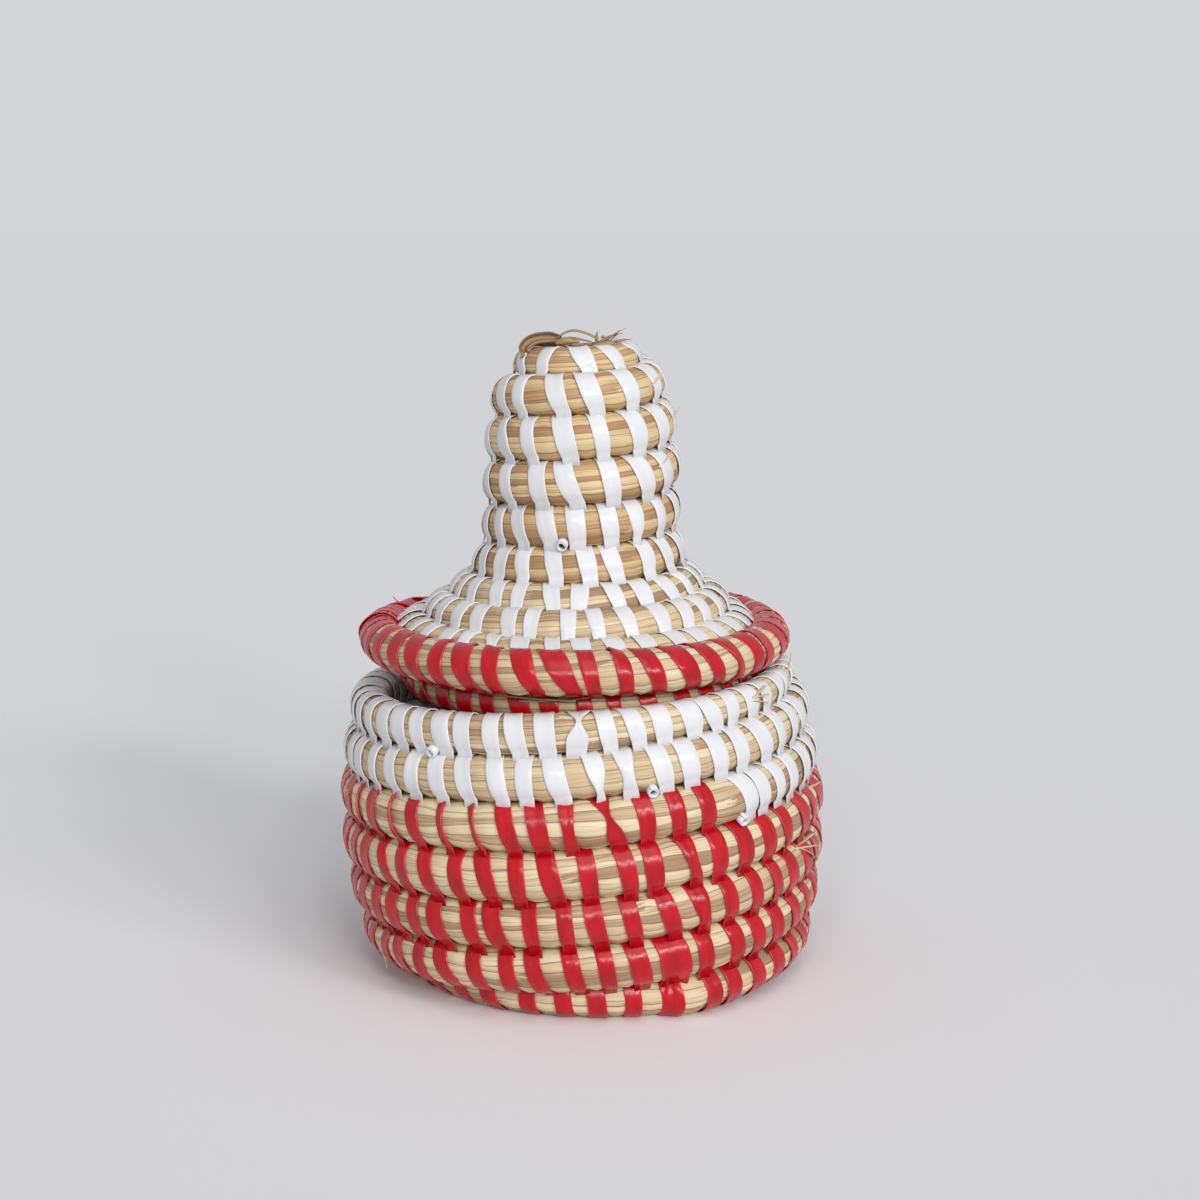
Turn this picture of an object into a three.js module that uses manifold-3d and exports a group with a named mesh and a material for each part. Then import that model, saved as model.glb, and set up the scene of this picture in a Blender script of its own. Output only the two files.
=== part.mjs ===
// A small lidded basket of coiled grass. One long bundle of dry grass winds out over the base and up the
// wall of the pot, a second bundle makes the lid from the brim to the top of its tall hollow knob, and a
// ring of grass sewn under the brim drops into the mouth. Flat plastic strips, red and then white, are
// lashed round and round each bundle and hold its turns together.
// Millimetres, +Z up, standing on z = 0 with the pot's axis on Z. The front is -Y.
import * as THREE from "three";
import { mergeVertices } from "three/addons/utils/BufferGeometryUtils.js";
import Module from "manifold-3d";

const degree = Math.PI / 180;

// The pot. Radii and heights run to the middle of the grass bundle.
const belly_radius = 47.4;
const belly_height = 36;
const wall_bow_radius = 105;
const rim_height = 64.4;
const rim_bundle_width = 7.1;
const belly_bundle_width = 9;
const foot_bundle_width = 8.6;
const start_bundle_width = 3.6;

// It was wound by hand and leans: going up, its turns drift to -X and climb towards +X.
const wall_lean_angle = 2.9 * degree;
const lean_rise = 28;

// The lid, whose height runs from the middle of the brim to the middle of the top turn. The brim lies a
// little further out than the rim that carries it.
const brim_overhang = 0.7;
const knob_radius = 16.8;
const knob_top_radius = 8.2;
const lid_height = 60.8;
const brim_bundle_width = 8.2;
const flare_bundle_width = 6.3;
const knob_bundle_width = 7.9;
const top_bundle_width = 5.4;

// The ring under the brim that finds the mouth.
const ring_bundle_width = 6.6;
const ring_fit_clearance = 0.9;
const ring_joint_gap = 0.6;

// The plastic strips.
const strip_width = 3.6;
const strip_thickness = 0.3;
const strip_clearance = 0.2;
const strip_slant = 1.7;
const seat_clearance = 0.3;

// The grass ends at the top of the knob. Each blade starts in the stub, arches up and comes down outside:
// shares of its length and of the tuft's height.
const blade_route_shares = [
  [0.12, 0.5],
  [0.5, 1],
  [1, 0.6],
];
const blade_length_shares = [0.85, 0.8, 0.65, 0.6];
const blade_heading_angles = [200, 335, 20, 95];
const stub_top_share = 0.6;
const blade_width = 1.9;
const blade_thickness = 0.5;
const blade_length = 13;
const tuft_height = 1.2;

// Where each bundle ends, as an angle from +X, seen from above and against the clock.
const rim_end_angle = 80 * degree;
const brim_end_angle = 145 * degree;
const ring_joint_angle = 100 * degree;
// The turns of the wall, down from the rim's end, that are lashed white.
const white_wall_turns = 2.37;

// The lengths of strip that each lashing takes, laid end to end.
const base_strip_count = 1;
const red_strip_count = 3;
const white_strip_count = 2;
const brim_strip_count = 1;
const lid_strip_count = 5;
const ring_strip_count = 1;

// How the bundles and the lashings are drawn.
const steps_per_turn = 18;
const step_angle = (360 * degree) / steps_per_turn;
const blade_steps = 8;
const stub_sides = 10;

// The bundle's section is a hexagon, flat above and below. Shares of its half width.
const corner_share = 0.5;
const slope_share = 1 - corner_share;
const slope_norm = Math.hypot(1, slope_share);

// Its corners, from the outer ridge over the top: which side they are on, and whether above or below.
const outer_ridge = { side: 1, lift: 0 };
const upper_outer = { side: 1, lift: 1 };
const upper_inner = { side: -1, lift: 1 };
const inner_ridge = { side: -1, lift: 0 };
const lower_inner = { side: -1, lift: -1 };
const lower_outer = { side: 1, lift: -1 };
const corners = [outer_ridge, upper_outer, upper_inner, inner_ridge, lower_inner, lower_outer];

// The outer end of a bundle thins to this share of its width over this share of a turn.
const rim_end_share = 0.3;
const rim_taper_share = 0.5;
const brim_end_share = 0.5;
const brim_taper_share = 0.15;

// Where a strip crosses the inner corners, as shares of its way from one loop to the next.
const inner_way_shares = [0.12, 0.5, 0.88];
const inner_corners = [lower_inner, inner_ridge, upper_inner];

// A strip and its clearance, and the gap between two lashed turns.
const lashing_depth = slope_norm * (strip_clearance + strip_thickness);
const turn_gap = 2 * lashing_depth + strip_clearance;
const profile_sample_count = 1600;
const bisection_count = 40;

const grass = { color: 0xc7a468, roughness: 0.75, metalness: 0 };
const red_plastic = { color: 0xb5122a, roughness: 0.35, metalness: 0 };
const white_plastic = { color: 0xeceaf0, roughness: 0.4, metalness: 0 };

const wasm = await Module();
wasm.setup();

// The size of an offset in the section's own measure, in which two bundles touch at the sum of their halves.
function spread(across, up) {
  return Math.max(Math.abs(up), Math.abs(across) + slope_share * Math.abs(up));
}

// A profile in the half plane beside the axis, sampled evenly, with the length run along it.
function sampleProfile(curve) {
  const points = curve.getSpacedPoints(profile_sample_count);
  const step = curve.getLength() / profile_sample_count;
  return points.map((p, i) => ({ radius: p.x, height: p.y, along: i * step }));
}

function stationAt(profile, along) {
  const last = profile.length - 1;
  const step = profile[1].along;
  const i = Math.min(Math.max(Math.floor(along / step), 0), last - 1);
  const t = along / step - i;
  return {
    radius: THREE.MathUtils.lerp(profile[i].radius, profile[i + 1].radius, t),
    height: THREE.MathUtils.lerp(profile[i].height, profile[i + 1].height, t),
  };
}

// The place further along where the next turn lies snug against the turn at `from`.
function nextTurn(stationOn, from, distanceAt) {
  const start = stationOn(from);
  let low = from;
  let high = from + 2 * distanceAt(from);
  for (let n = 0; n < bisection_count; n++) {
    const middle = (low + high) / 2;
    const p = stationOn(middle);
    if (spread(p.radius - start.radius, p.height - start.height) < distanceAt(middle)) low = middle;
    else high = middle;
  }
  return high;
}

// Half the width of a bundle at a share of its profile, between the widths given at the shares.
function halfWidths(widths, shares) {
  return (share) => {
    const n = Math.max(1, shares.findIndex((s) => s >= share));
    const t = (share - shares[n - 1]) / (shares[n] - shares[n - 1]);
    return THREE.MathUtils.lerp(widths[n - 1], widths[n], THREE.MathUtils.clamp(t, 0, 1)) / 2;
  };
}

// Lays a bundle along a profile, turn against turn, from its outer end inwards. Its outer end tapers from
// endShare of the width over taperShare of a turn. turnSign is 1 where the bundle runs against the clock
// and -1 where it runs with it, and place sets a station of the profile where it lies at its step.
function layBundle(profile, halfAt, { firstStep, turnSign, endShare, taperShare, place }) {
  const total = profile[profile.length - 1].along;
  const taper_steps = taperShare * steps_per_turn;
  const taper = (i) => Math.min(1, endShare + ((1 - endShare) * i) / taper_steps);
  const half = (i, along) => halfAt(Math.min(along / total, 1)) * taper(i);
  const at = (i, along) => place(stationAt(profile, along), firstStep + turnSign * i);
  const along = [0];
  const first = nextTurn(
    (a) => at(0, a),
    0,
    (a) => half(0, 0) + half(steps_per_turn, a) + turn_gap,
  );
  for (let i = 1; i <= steps_per_turn; i++) along.push((first * i) / steps_per_turn);
  while (along[along.length - 1] < total) {
    const i = along.length - steps_per_turn;
    along.push(
      nextTurn(
        (a) => at(i, a),
        along[i],
        (a) => half(i, along[i]) + half(steps_per_turn, a) + turn_gap,
      ),
    );
  }
  along.pop();
  return along.map((a, i) => ({ step: firstStep + turnSign * i, half: half(i, a), ...at(i, a) }));
}

// One corner of the section at a station, pushed out by offset.
function sectionCorner(station, { side, lift }, offset) {
  const across =
    lift === 0
      ? station.half + slope_norm * offset
      : corner_share * station.half + (slope_norm - slope_share) * offset;
  const up = lift * (station.half + offset);
  const radius = station.radius + side * across;
  const angle = station.step * step_angle;
  return new THREE.Vector3(radius * Math.cos(angle), radius * Math.sin(angle), station.height + up);
}

// A closed skin over rings of points, with a flat cap at each end.
function skin(rings) {
  const sides = rings[0].length;
  const positions = rings.flat().flatMap((p) => [p.x, p.y, p.z]);
  const faces = [];
  for (let i = 0; i + 1 < rings.length; i++) {
    for (let j = 0; j < sides; j++) {
      const a = i * sides + j;
      const b = i * sides + ((j + 1) % sides);
      faces.push(a, b, b + sides, a, b + sides, a + sides);
    }
  }
  const last = (rings.length - 1) * sides;
  for (let j = 1; j + 1 < sides; j++) {
    faces.push(0, j + 1, j);
    faces.push(last, last + j, last + j + 1);
  }
  const geometry = new THREE.BufferGeometry();
  geometry.setAttribute("position", new THREE.Float32BufferAttribute(positions, 3));
  geometry.setIndex(volumeOf(positions, faces) < 0 ? faces.reverse() : faces);
  return geometry;
}

function volumeOf(positions, faces) {
  const corner = (i) => new THREE.Vector3().fromArray(positions, 3 * i);
  let sum = 0;
  for (let f = 0; f < faces.length; f += 3) {
    sum += corner(faces[f]).dot(corner(faces[f + 1]).cross(corner(faces[f + 2])));
  }
  return sum / 6;
}

function bundleRings(stations) {
  return stations.map((station) => corners.map((c) => sectionCorner(station, c, 0)));
}

// The point over a corner of the section at any place between two stations.
function pointOver(stations, place, corner, offset) {
  const i = Math.min(Math.max(Math.floor(place), 0), stations.length - 2);
  const from = sectionCorner(stations[i], corner, offset);
  return from.lerp(sectionCorner(stations[i + 1], corner, offset), place - i);
}

// The length of one step at a corner of the section.
function stepLength(station, corner) {
  const p = sectionCorner(station, corner, strip_clearance + strip_thickness);
  return Math.hypot(p.x, p.y) * step_angle;
}

// The loops of the lashing, one on every step, or on every second or later one where the turns are small.
// A loop lies within a single straight step on the outside, and leads to the next one on the inside.
function placeLoops(stations, room) {
  const loops = [];
  let i = 0;
  while (i + 1 < stations.length) {
    const straight = stepLength(stations[i], upper_outer);
    if (straight > strip_width + strip_clearance && stations[i].half > strip_width / 2) {
      const slack = (straight - strip_width - strip_clearance) / 2;
      loops.push({ place: i + 0.5, slant: Math.min(strip_slant, slack) / straight });
    }
    i += Math.ceil(room / (stations[i].radius * step_angle));
  }
  return loops;
}

// One strip wound round the bundle: over the top, slanting down the outside, under, and up the inside to
// the next loop. The strip is flat outside, with a low keel towards the grass.
function stripRings(stations, loops) {
  const stops = [];
  loops.forEach((loop, n) => {
    const next = loops[n + 1] ?? { place: 2 * loop.place - (loops[n - 1]?.place ?? 0), slant: loop.slant };
    const down = loop.place - loop.slant;
    const under = loop.place + loop.slant;
    const inner = next.place - next.slant - under;
    const start = Math.max(down - inner_way_shares[0] * inner, 0);
    if (n === 0) stops.push({ place: start, corner: upper_inner });
    stops.push({ place: down, corner: upper_outer });
    stops.push({ place: loop.place, corner: outer_ridge });
    stops.push({ place: under, corner: lower_outer });
    inner_corners.slice(0, n + 1 < loops.length ? inner_corners.length : 1).forEach((corner, k) => {
      stops.push({ place: under + inner_way_shares[k] * inner, corner });
    });
  });
  const deep = strip_clearance + strip_thickness;
  return stops.map(({ place, corner }) => {
    const station = stations[Math.min(Math.floor(place), stations.length - 1)];
    const reach = strip_width / 2 / stepLength(station, corner);
    return [
      pointOver(stations, place - reach, corner, deep),
      pointOver(stations, place + reach, corner, deep),
      pointOver(stations, place, corner, strip_clearance),
    ];
  });
}

// Shares the loops of a lashing out to its lengths of strip, which are nearly alike.
function cutStrips(loops, count) {
  const each = Math.ceil(loops.length / count);
  return Array.from({ length: count }, (_, n) => loops.slice(n * each, (n + 1) * each));
}

// The least free height that two stations of one azimuth need between their middles.
function heightApart(a, b, clearance) {
  const reach = a.half + b.half + 2 * lashing_depth + clearance;
  const across = Math.abs(a.radius - b.radius);
  return Math.min(reach, Math.max((reach - across) / slope_share, 0));
}

function sameAzimuth(a, b) {
  return (a.step - b.step) % steps_per_turn === 0;
}

// The least gap between one loop of a winding and the next, measured between the points of its rings.
function leastLoopGap(rings, ringsPerLoop) {
  let least = Infinity;
  for (let i = 0; i + ringsPerLoop < rings.length; i++) {
    for (const p of rings[i]) {
      for (const q of rings[i + ringsPerLoop]) least = Math.min(least, p.distanceTo(q));
    }
  }
  return least;
}

// The pot: a bowed wall from the rim down to the foot, then the flat base in towards the axis.
const foot_half = foot_bundle_width / 2;
const floor_height = foot_half + strip_clearance + strip_thickness;
const bow_centre = belly_radius - wall_bow_radius;
const rim_angle = Math.asin((rim_height - belly_height) / wall_bow_radius);
const rim_radius = bow_centre + wall_bow_radius * Math.cos(rim_angle);
const foot_angle = Math.asin((floor_height - belly_height) / wall_bow_radius);
const base_start_radius = start_bundle_width / 2 + turn_gap / 2;
const pot_profile = sampleProfile(
  new THREE.Path()
    .absarc(bow_centre, belly_height, wall_bow_radius, rim_angle, foot_angle, true)
    .lineTo(base_start_radius, floor_height),
);
const wall_share = (wall_bow_radius * (rim_angle - foot_angle)) / pot_profile[profile_sample_count].along;
const base_full_share = 0.88;
const potHalf = halfWidths(
  [rim_bundle_width, belly_bundle_width, foot_bundle_width, foot_bundle_width, start_bundle_width],
  [0, wall_share / 2, wall_share, base_full_share, 1],
);

// The lean moves each turn sideways with its height and tips it, more and more up to lean_rise.
function leanStation(station, step) {
  const towards = Math.cos(step * step_angle);
  const drift = Math.tan(wall_lean_angle) * (station.height - belly_height);
  const risen_share = THREE.MathUtils.clamp((station.height - floor_height) / lean_rise, 0, 1);
  const tip = Math.tan(wall_lean_angle) * risen_share;
  return {
    radius: station.radius * (1 - (drift / belly_radius) * towards),
    height: station.height + tip * station.radius * towards,
  };
}

const rim_end_step = Math.round(rim_end_angle / step_angle);
const pot_stations = layBundle(pot_profile, potHalf, {
  firstStep: rim_end_step,
  turnSign: -1,
  endShare: rim_end_share,
  taperShare: rim_taper_share,
  place: leanStation,
}).reverse();

// The lid: a flat brim over the rim, a flare like a bell and a tall knob that rounds in at its top. Each
// point is a share of the way out from the knob to the brim, or of the knob's radius, and of the lid's
// height.
const brim_radius = rim_radius + brim_overhang;
const flare_shares = [
  [1, 0],
  [0.81, 0.006],
  [0.62, 0.03],
  [0.425, 0.115],
  [0.195, 0.198],
  [0.05, 0.317],
];
const knob_shares = [
  [1.005, 0.456],
  [0.99, 0.614],
  [0.93, 0.763],
  [0.845, 0.893],
];
const lid_profile = sampleProfile(
  new THREE.SplineCurve([
    ...flare_shares.map(
      ([out, up]) =>
        new THREE.Vector2(THREE.MathUtils.lerp(knob_radius, brim_radius, out), up * lid_height),
    ),
    ...knob_shares.map(([out, up]) => new THREE.Vector2(out * knob_radius, up * lid_height)),
    new THREE.Vector2(knob_top_radius, lid_height),
  ]),
);
const lid_width_shares = [0, 0.17, 0.32, 0.62, 0.8, 1];
const lidHalf = halfWidths(
  [
    brim_bundle_width,
    flare_bundle_width,
    flare_bundle_width,
    knob_bundle_width,
    knob_bundle_width,
    top_bundle_width,
  ],
  lid_width_shares,
);
const brim_end_step = Math.round(brim_end_angle / step_angle);
const lid_stations = layBundle(lid_profile, lidHalf, {
  firstStep: brim_end_step,
  turnSign: 1,
  endShare: brim_end_share,
  taperShare: brim_taper_share,
  place: (station) => station,
});

// The lid comes down until its brim meets the lashing of the rim.
let seat_height = 0;
for (const below of pot_stations.slice(-2 * steps_per_turn)) {
  for (const above of lid_stations.filter((s) => sameAzimuth(s, below))) {
    const apart = heightApart(below, above, seat_clearance);
    if (apart > 0) seat_height = Math.max(seat_height, below.height + apart - above.height);
  }
}
lid_stations.forEach((station) => {
  station.height += seat_height;
});

// The ring fits the mouth with play all round, and lies against the underside of the lid.
const ring_half = ring_bundle_width / 2;
const rim_turn = pot_stations.slice(-steps_per_turn);
const mouth_radius = Math.min(...rim_turn.map((s) => s.radius - s.half)) - lashing_depth;
const ring_radius = mouth_radius - ring_fit_clearance - lashing_depth - ring_half;
const ring_height = Math.min(
  ...lid_stations.map((above) => {
    const apart = heightApart(above, { radius: ring_radius, half: ring_half }, strip_clearance);
    return apart > 0 ? above.height - apart : Infinity;
  }),
);
const ring_joint_step = Math.round(ring_joint_angle / step_angle);
const ring_stations = Array.from({ length: steps_per_turn + 1 }, (_, i) => ({
  step: ring_joint_step + i,
  half: ring_half,
  radius: ring_radius,
  height: ring_height,
}));
// The ring's two ends stop short of each other.
ring_stations[steps_per_turn].step -= ring_joint_gap / ((ring_radius - ring_half) * step_angle);

const basket = new THREE.Group();
basket.name = "coiled_basket";
const pot = new THREE.Group();
const lid = new THREE.Group();
basket.add(pot, lid);

function addPiece(group, name, geometry, finish) {
  geometry.computeVertexNormals();
  const material = new THREE.MeshStandardMaterial({ ...finish, flatShading: true });
  const mesh = new THREE.Mesh(geometry, material);
  mesh.name = name;
  group.add(mesh);
}

function addWinding(group, name, rings, ringsPerLoop, finish) {
  const loops = (rings.length / ringsPerLoop).toFixed(1);
  const gap = leastLoopGap(rings, ringsPerLoop).toFixed(2);
  console.log(`${name}: ${loops} loops, least gap between loops ${gap} mm`);
  addPiece(group, name, skin(rings), finish);
}

function addBundle(group, name, stations) {
  addWinding(group, name, bundleRings(stations), steps_per_turn, grass);
}

function addStrips(group, name, stations, loops, count, finish) {
  cutStrips(loops, count).forEach((part, n) => {
    addWinding(group, `${name}_${n + 1}`, stripRings(stations, part), corners.length, finish);
  });
}

// The pot's bundle and its strips: red on the base and the lower wall, white up to the rim.
addBundle(pot, "pot_grass_coil", pot_stations);
const close_room = 2 * strip_width;
const wide_room = 4 * strip_width;
const pot_loops = placeLoops(pot_stations, close_room);
const white_from = pot_stations.length - 1 - Math.round(white_wall_turns * steps_per_turn);
const wall_from = pot_stations.findIndex((s) => s.height > floor_height + strip_thickness);
const base_loops = placeLoops(pot_stations, wide_room).filter((l) => l.place < wall_from);
const red_loops = pot_loops.filter((l) => l.place > wall_from && l.place < white_from);
const white_loops = pot_loops.filter((l) => l.place > white_from);
addStrips(pot, "base_red_strip", pot_stations, base_loops, base_strip_count, red_plastic);
addStrips(pot, "wall_red_strip", pot_stations, red_loops, red_strip_count, red_plastic);
addStrips(pot, "wall_white_strip", pot_stations, white_loops, white_strip_count, white_plastic);

// The lid's bundle and its strips: red round the brim, white over the flare and the knob.
addBundle(lid, "lid_grass_coil", lid_stations);
const lid_loops = placeLoops(lid_stations, close_room);
const brim_loops = lid_loops.filter((l) => l.place < steps_per_turn);
const lid_white_loops = lid_loops.filter((l) => l.place > steps_per_turn);
addStrips(lid, "brim_red_strip", lid_stations, brim_loops, brim_strip_count, red_plastic);
addStrips(lid, "lid_white_strip", lid_stations, lid_white_loops, lid_strip_count, white_plastic);

addBundle(lid, "mouth_ring_grass", ring_stations);
const ring_loops = placeLoops(ring_stations, wide_room).filter((l) => l.place < steps_per_turn - 1);
addStrips(lid, "mouth_ring_red_strip", ring_stations, ring_loops, ring_strip_count, red_plastic);

// The tuft: the bundle's first end stands in the hole at the top of the knob, with loose blades that
// arch out over the top turn.
function solidOf(geometry) {
  geometry.deleteAttribute("normal");
  geometry.deleteAttribute("uv");
  const merged = mergeVertices(geometry);
  return new wasm.Manifold(
    new wasm.Mesh({
      numProp: 3,
      vertProperties: new Float32Array(merged.attributes.position.array),
      triVerts: new Uint32Array(merged.index.array),
    }),
  );
}

function geometryOf(solid) {
  const mesh = solid.getMesh();
  const geometry = new THREE.BufferGeometry();
  geometry.setAttribute("position", new THREE.BufferAttribute(mesh.vertProperties, 3));
  geometry.setIndex(new THREE.BufferAttribute(mesh.triVerts, 1));
  return geometry;
}

function bladeSolid(azimuth, length) {
  const out = new THREE.Vector3(Math.cos(azimuth), Math.sin(azimuth), 0);
  const at = (along, up) => new THREE.Vector3(0, 0, tuft_base + up).addScaledVector(out, along);
  const route = new THREE.CatmullRomCurve3([
    at(0, -blade_width),
    ...blade_route_shares.map(([along, up]) => at(along * length, up * tuft_height)),
  ]);
  const section = new THREE.Shape()
    .moveTo(-blade_thickness / 2, -blade_width / 2)
    .lineTo(blade_thickness / 2, -blade_width / 2)
    .lineTo(blade_thickness / 2, blade_width / 2)
    .lineTo(-blade_thickness / 2, blade_width / 2)
    .closePath();
  return solidOf(new THREE.ExtrudeGeometry(section, { steps: blade_steps, extrudePath: route }));
}

const top_turn = lid_stations.slice(-steps_per_turn);
const hole_radius = Math.min(...top_turn.map((s) => s.radius - s.half)) - lashing_depth;
const stub_radius = hole_radius - seat_clearance;
const top_station = lid_stations[lid_stations.length - 1];
const tuft_base = Math.max(...top_turn.map((s) => s.height + s.half)) + lashing_depth;
const stub_length = tuft_base - top_station.height;
const stub = new THREE.CylinderGeometry(stub_radius * stub_top_share, stub_radius, stub_length, stub_sides);
stub.rotateX(90 * degree).translate(0, 0, tuft_base - stub_length / 2);
const tuft = blade_heading_angles.reduce(
  (sum, heading, n) => sum.add(bladeSolid(heading * degree, blade_length_shares[n] * blade_length)),
  solidOf(stub),
);
addPiece(lid, "knob_tuft", geometryOf(tuft), grass);

// The lean and the open ends of the coils leave the outline off centre, so the origin goes to its middle.
const outline = new THREE.Box3().setFromObject(basket);
basket.position.set(-(outline.min.x + outline.max.x) / 2, -(outline.min.y + outline.max.y) / 2, 0);

export default basket;
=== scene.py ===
"""Dresses the small lidded basket: its coiled grass bundles, the plastic strips lashed round them, the ring
under the brim and the tuft of grass ends on the knob, on a pale floor in soft studio light.

Lengths are millimetres until a mesh is made, and angles are degrees until they are worked with. A section
angle goes round a bundle's section: 0 points away from the basket's axis and 90 points up.
"""

import logging
import math
from dataclasses import dataclass, field, replace
from enum import Enum

import bpy
import numpy as np
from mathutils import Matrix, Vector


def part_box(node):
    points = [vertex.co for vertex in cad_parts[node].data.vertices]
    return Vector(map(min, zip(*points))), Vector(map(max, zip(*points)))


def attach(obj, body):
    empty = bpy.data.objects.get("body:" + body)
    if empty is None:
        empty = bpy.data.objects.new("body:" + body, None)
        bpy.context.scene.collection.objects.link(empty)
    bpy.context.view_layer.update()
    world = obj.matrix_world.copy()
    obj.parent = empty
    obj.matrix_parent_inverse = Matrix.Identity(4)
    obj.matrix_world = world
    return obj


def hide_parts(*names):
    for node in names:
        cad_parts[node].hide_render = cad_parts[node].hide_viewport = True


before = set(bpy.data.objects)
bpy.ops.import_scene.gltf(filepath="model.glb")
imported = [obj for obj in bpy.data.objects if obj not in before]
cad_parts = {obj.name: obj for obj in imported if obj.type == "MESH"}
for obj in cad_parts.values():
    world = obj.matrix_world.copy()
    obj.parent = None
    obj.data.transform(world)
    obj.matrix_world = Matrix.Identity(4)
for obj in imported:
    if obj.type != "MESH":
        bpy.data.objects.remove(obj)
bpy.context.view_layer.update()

log = logging.getLogger("basket")

Array = np.ndarray
Colour = tuple[float, float, float]

MM = 0.001
FULL_TURN = 360.0


class Body(Enum):
    """The CAD bodies that pieces ride on."""

    POT = "pot"
    LID = "lid"


class Slot(Enum):
    """The record's material slots."""

    GRASS = "bundle_grass"
    TUFT = "tuft_grass"
    RED = "red_strip"
    WHITE = "white_strip"


def smooth_step(share: Array) -> Array:
    """Eases a share from 0 to 1: three squares less two cubes, held at both ends."""
    held = np.clip(share, 0.0, 1.0)
    return held * held * (3.0 - 2.0 * held)


def mix(start: Array, end: Array, share: Array) -> Array:
    """The place a share of the way from start to end."""
    return start + (end - start) * share


def drifting_noise(rng: np.random.Generator, places: Array, spacing: float) -> Array:
    """Smooth noise from -1 to 1 along a line: random values at even knots, eased from each to the next.

    Args:
        rng: the source of the random values.
        places: where the noise is wanted, from 0 up.
        spacing: the distance between knots.

    Returns:
        One value per place.
    """
    knots = rng.uniform(-1.0, 1.0, int(np.max(places) / spacing) + 3)
    at = places / spacing
    low = np.floor(at).astype(int)
    return mix(knots[low], knots[low + 1], smooth_step(at - low))


@dataclass(frozen=True)
class Profile:
    """A line in the half plane beside the axis: radii and heights at even steps of its length."""

    radii: Array
    heights: Array
    length: float

    @classmethod
    def through(cls, radii: Array, heights: Array, samples: int = 1600) -> "Profile":
        """Samples a line again at even steps of its length.

        Args:
            radii: the radius of each point of the line.
            heights: the height of each point.
            samples: how many even steps to take.

        Returns:
            The profile.
        """
        run = np.concatenate([[0.0], np.cumsum(np.hypot(np.diff(radii), np.diff(heights)))])
        even = np.linspace(0.0, run[-1], samples + 1)
        return cls(np.interp(even, run, radii), np.interp(even, run, heights), float(run[-1]))

    def at(self, along: Array) -> tuple[Array, Array]:
        """The radius and height at a length along the line, which runs on straight past its end."""
        step = self.length / (len(self.radii) - 1)
        low = np.clip(np.floor(along / step).astype(int), 0, len(self.radii) - 2)
        share = along / step - low
        return (
            mix(self.radii[low], self.radii[low + 1], share),
            mix(self.heights[low], self.heights[low + 1], share),
        )


@dataclass(frozen=True)
class Winding:
    """How a bundle is laid along a profile, turn against turn, from its outer end inwards."""

    widths: tuple[float, ...]
    width_shares: tuple[float, ...]
    first_angle: float
    turn_sign: int
    end_share: float
    taper_turns: float
    turn_gap: float = 1.318
    slope_share: float = 0.5
    steps: int = 90
    halvings: int = 40

    def half(self, turns: Array, along: Array, total: float) -> Array:
        """Half the bundle's width: the widths joined by straight lines, thinned towards the outer end."""
        taper = np.minimum(1.0, self.end_share + (1.0 - self.end_share) * turns / self.taper_turns)
        share = np.minimum(along / total, 1.0)
        return 0.5 * taper * np.interp(share, self.width_shares, self.widths)

    def spread(self, across: Array, up: Array) -> Array:
        """The size of an offset in the section's own measure: the greater of its height and its slope."""
        return np.maximum(np.abs(up), np.abs(across) + self.slope_share * np.abs(up))


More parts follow.
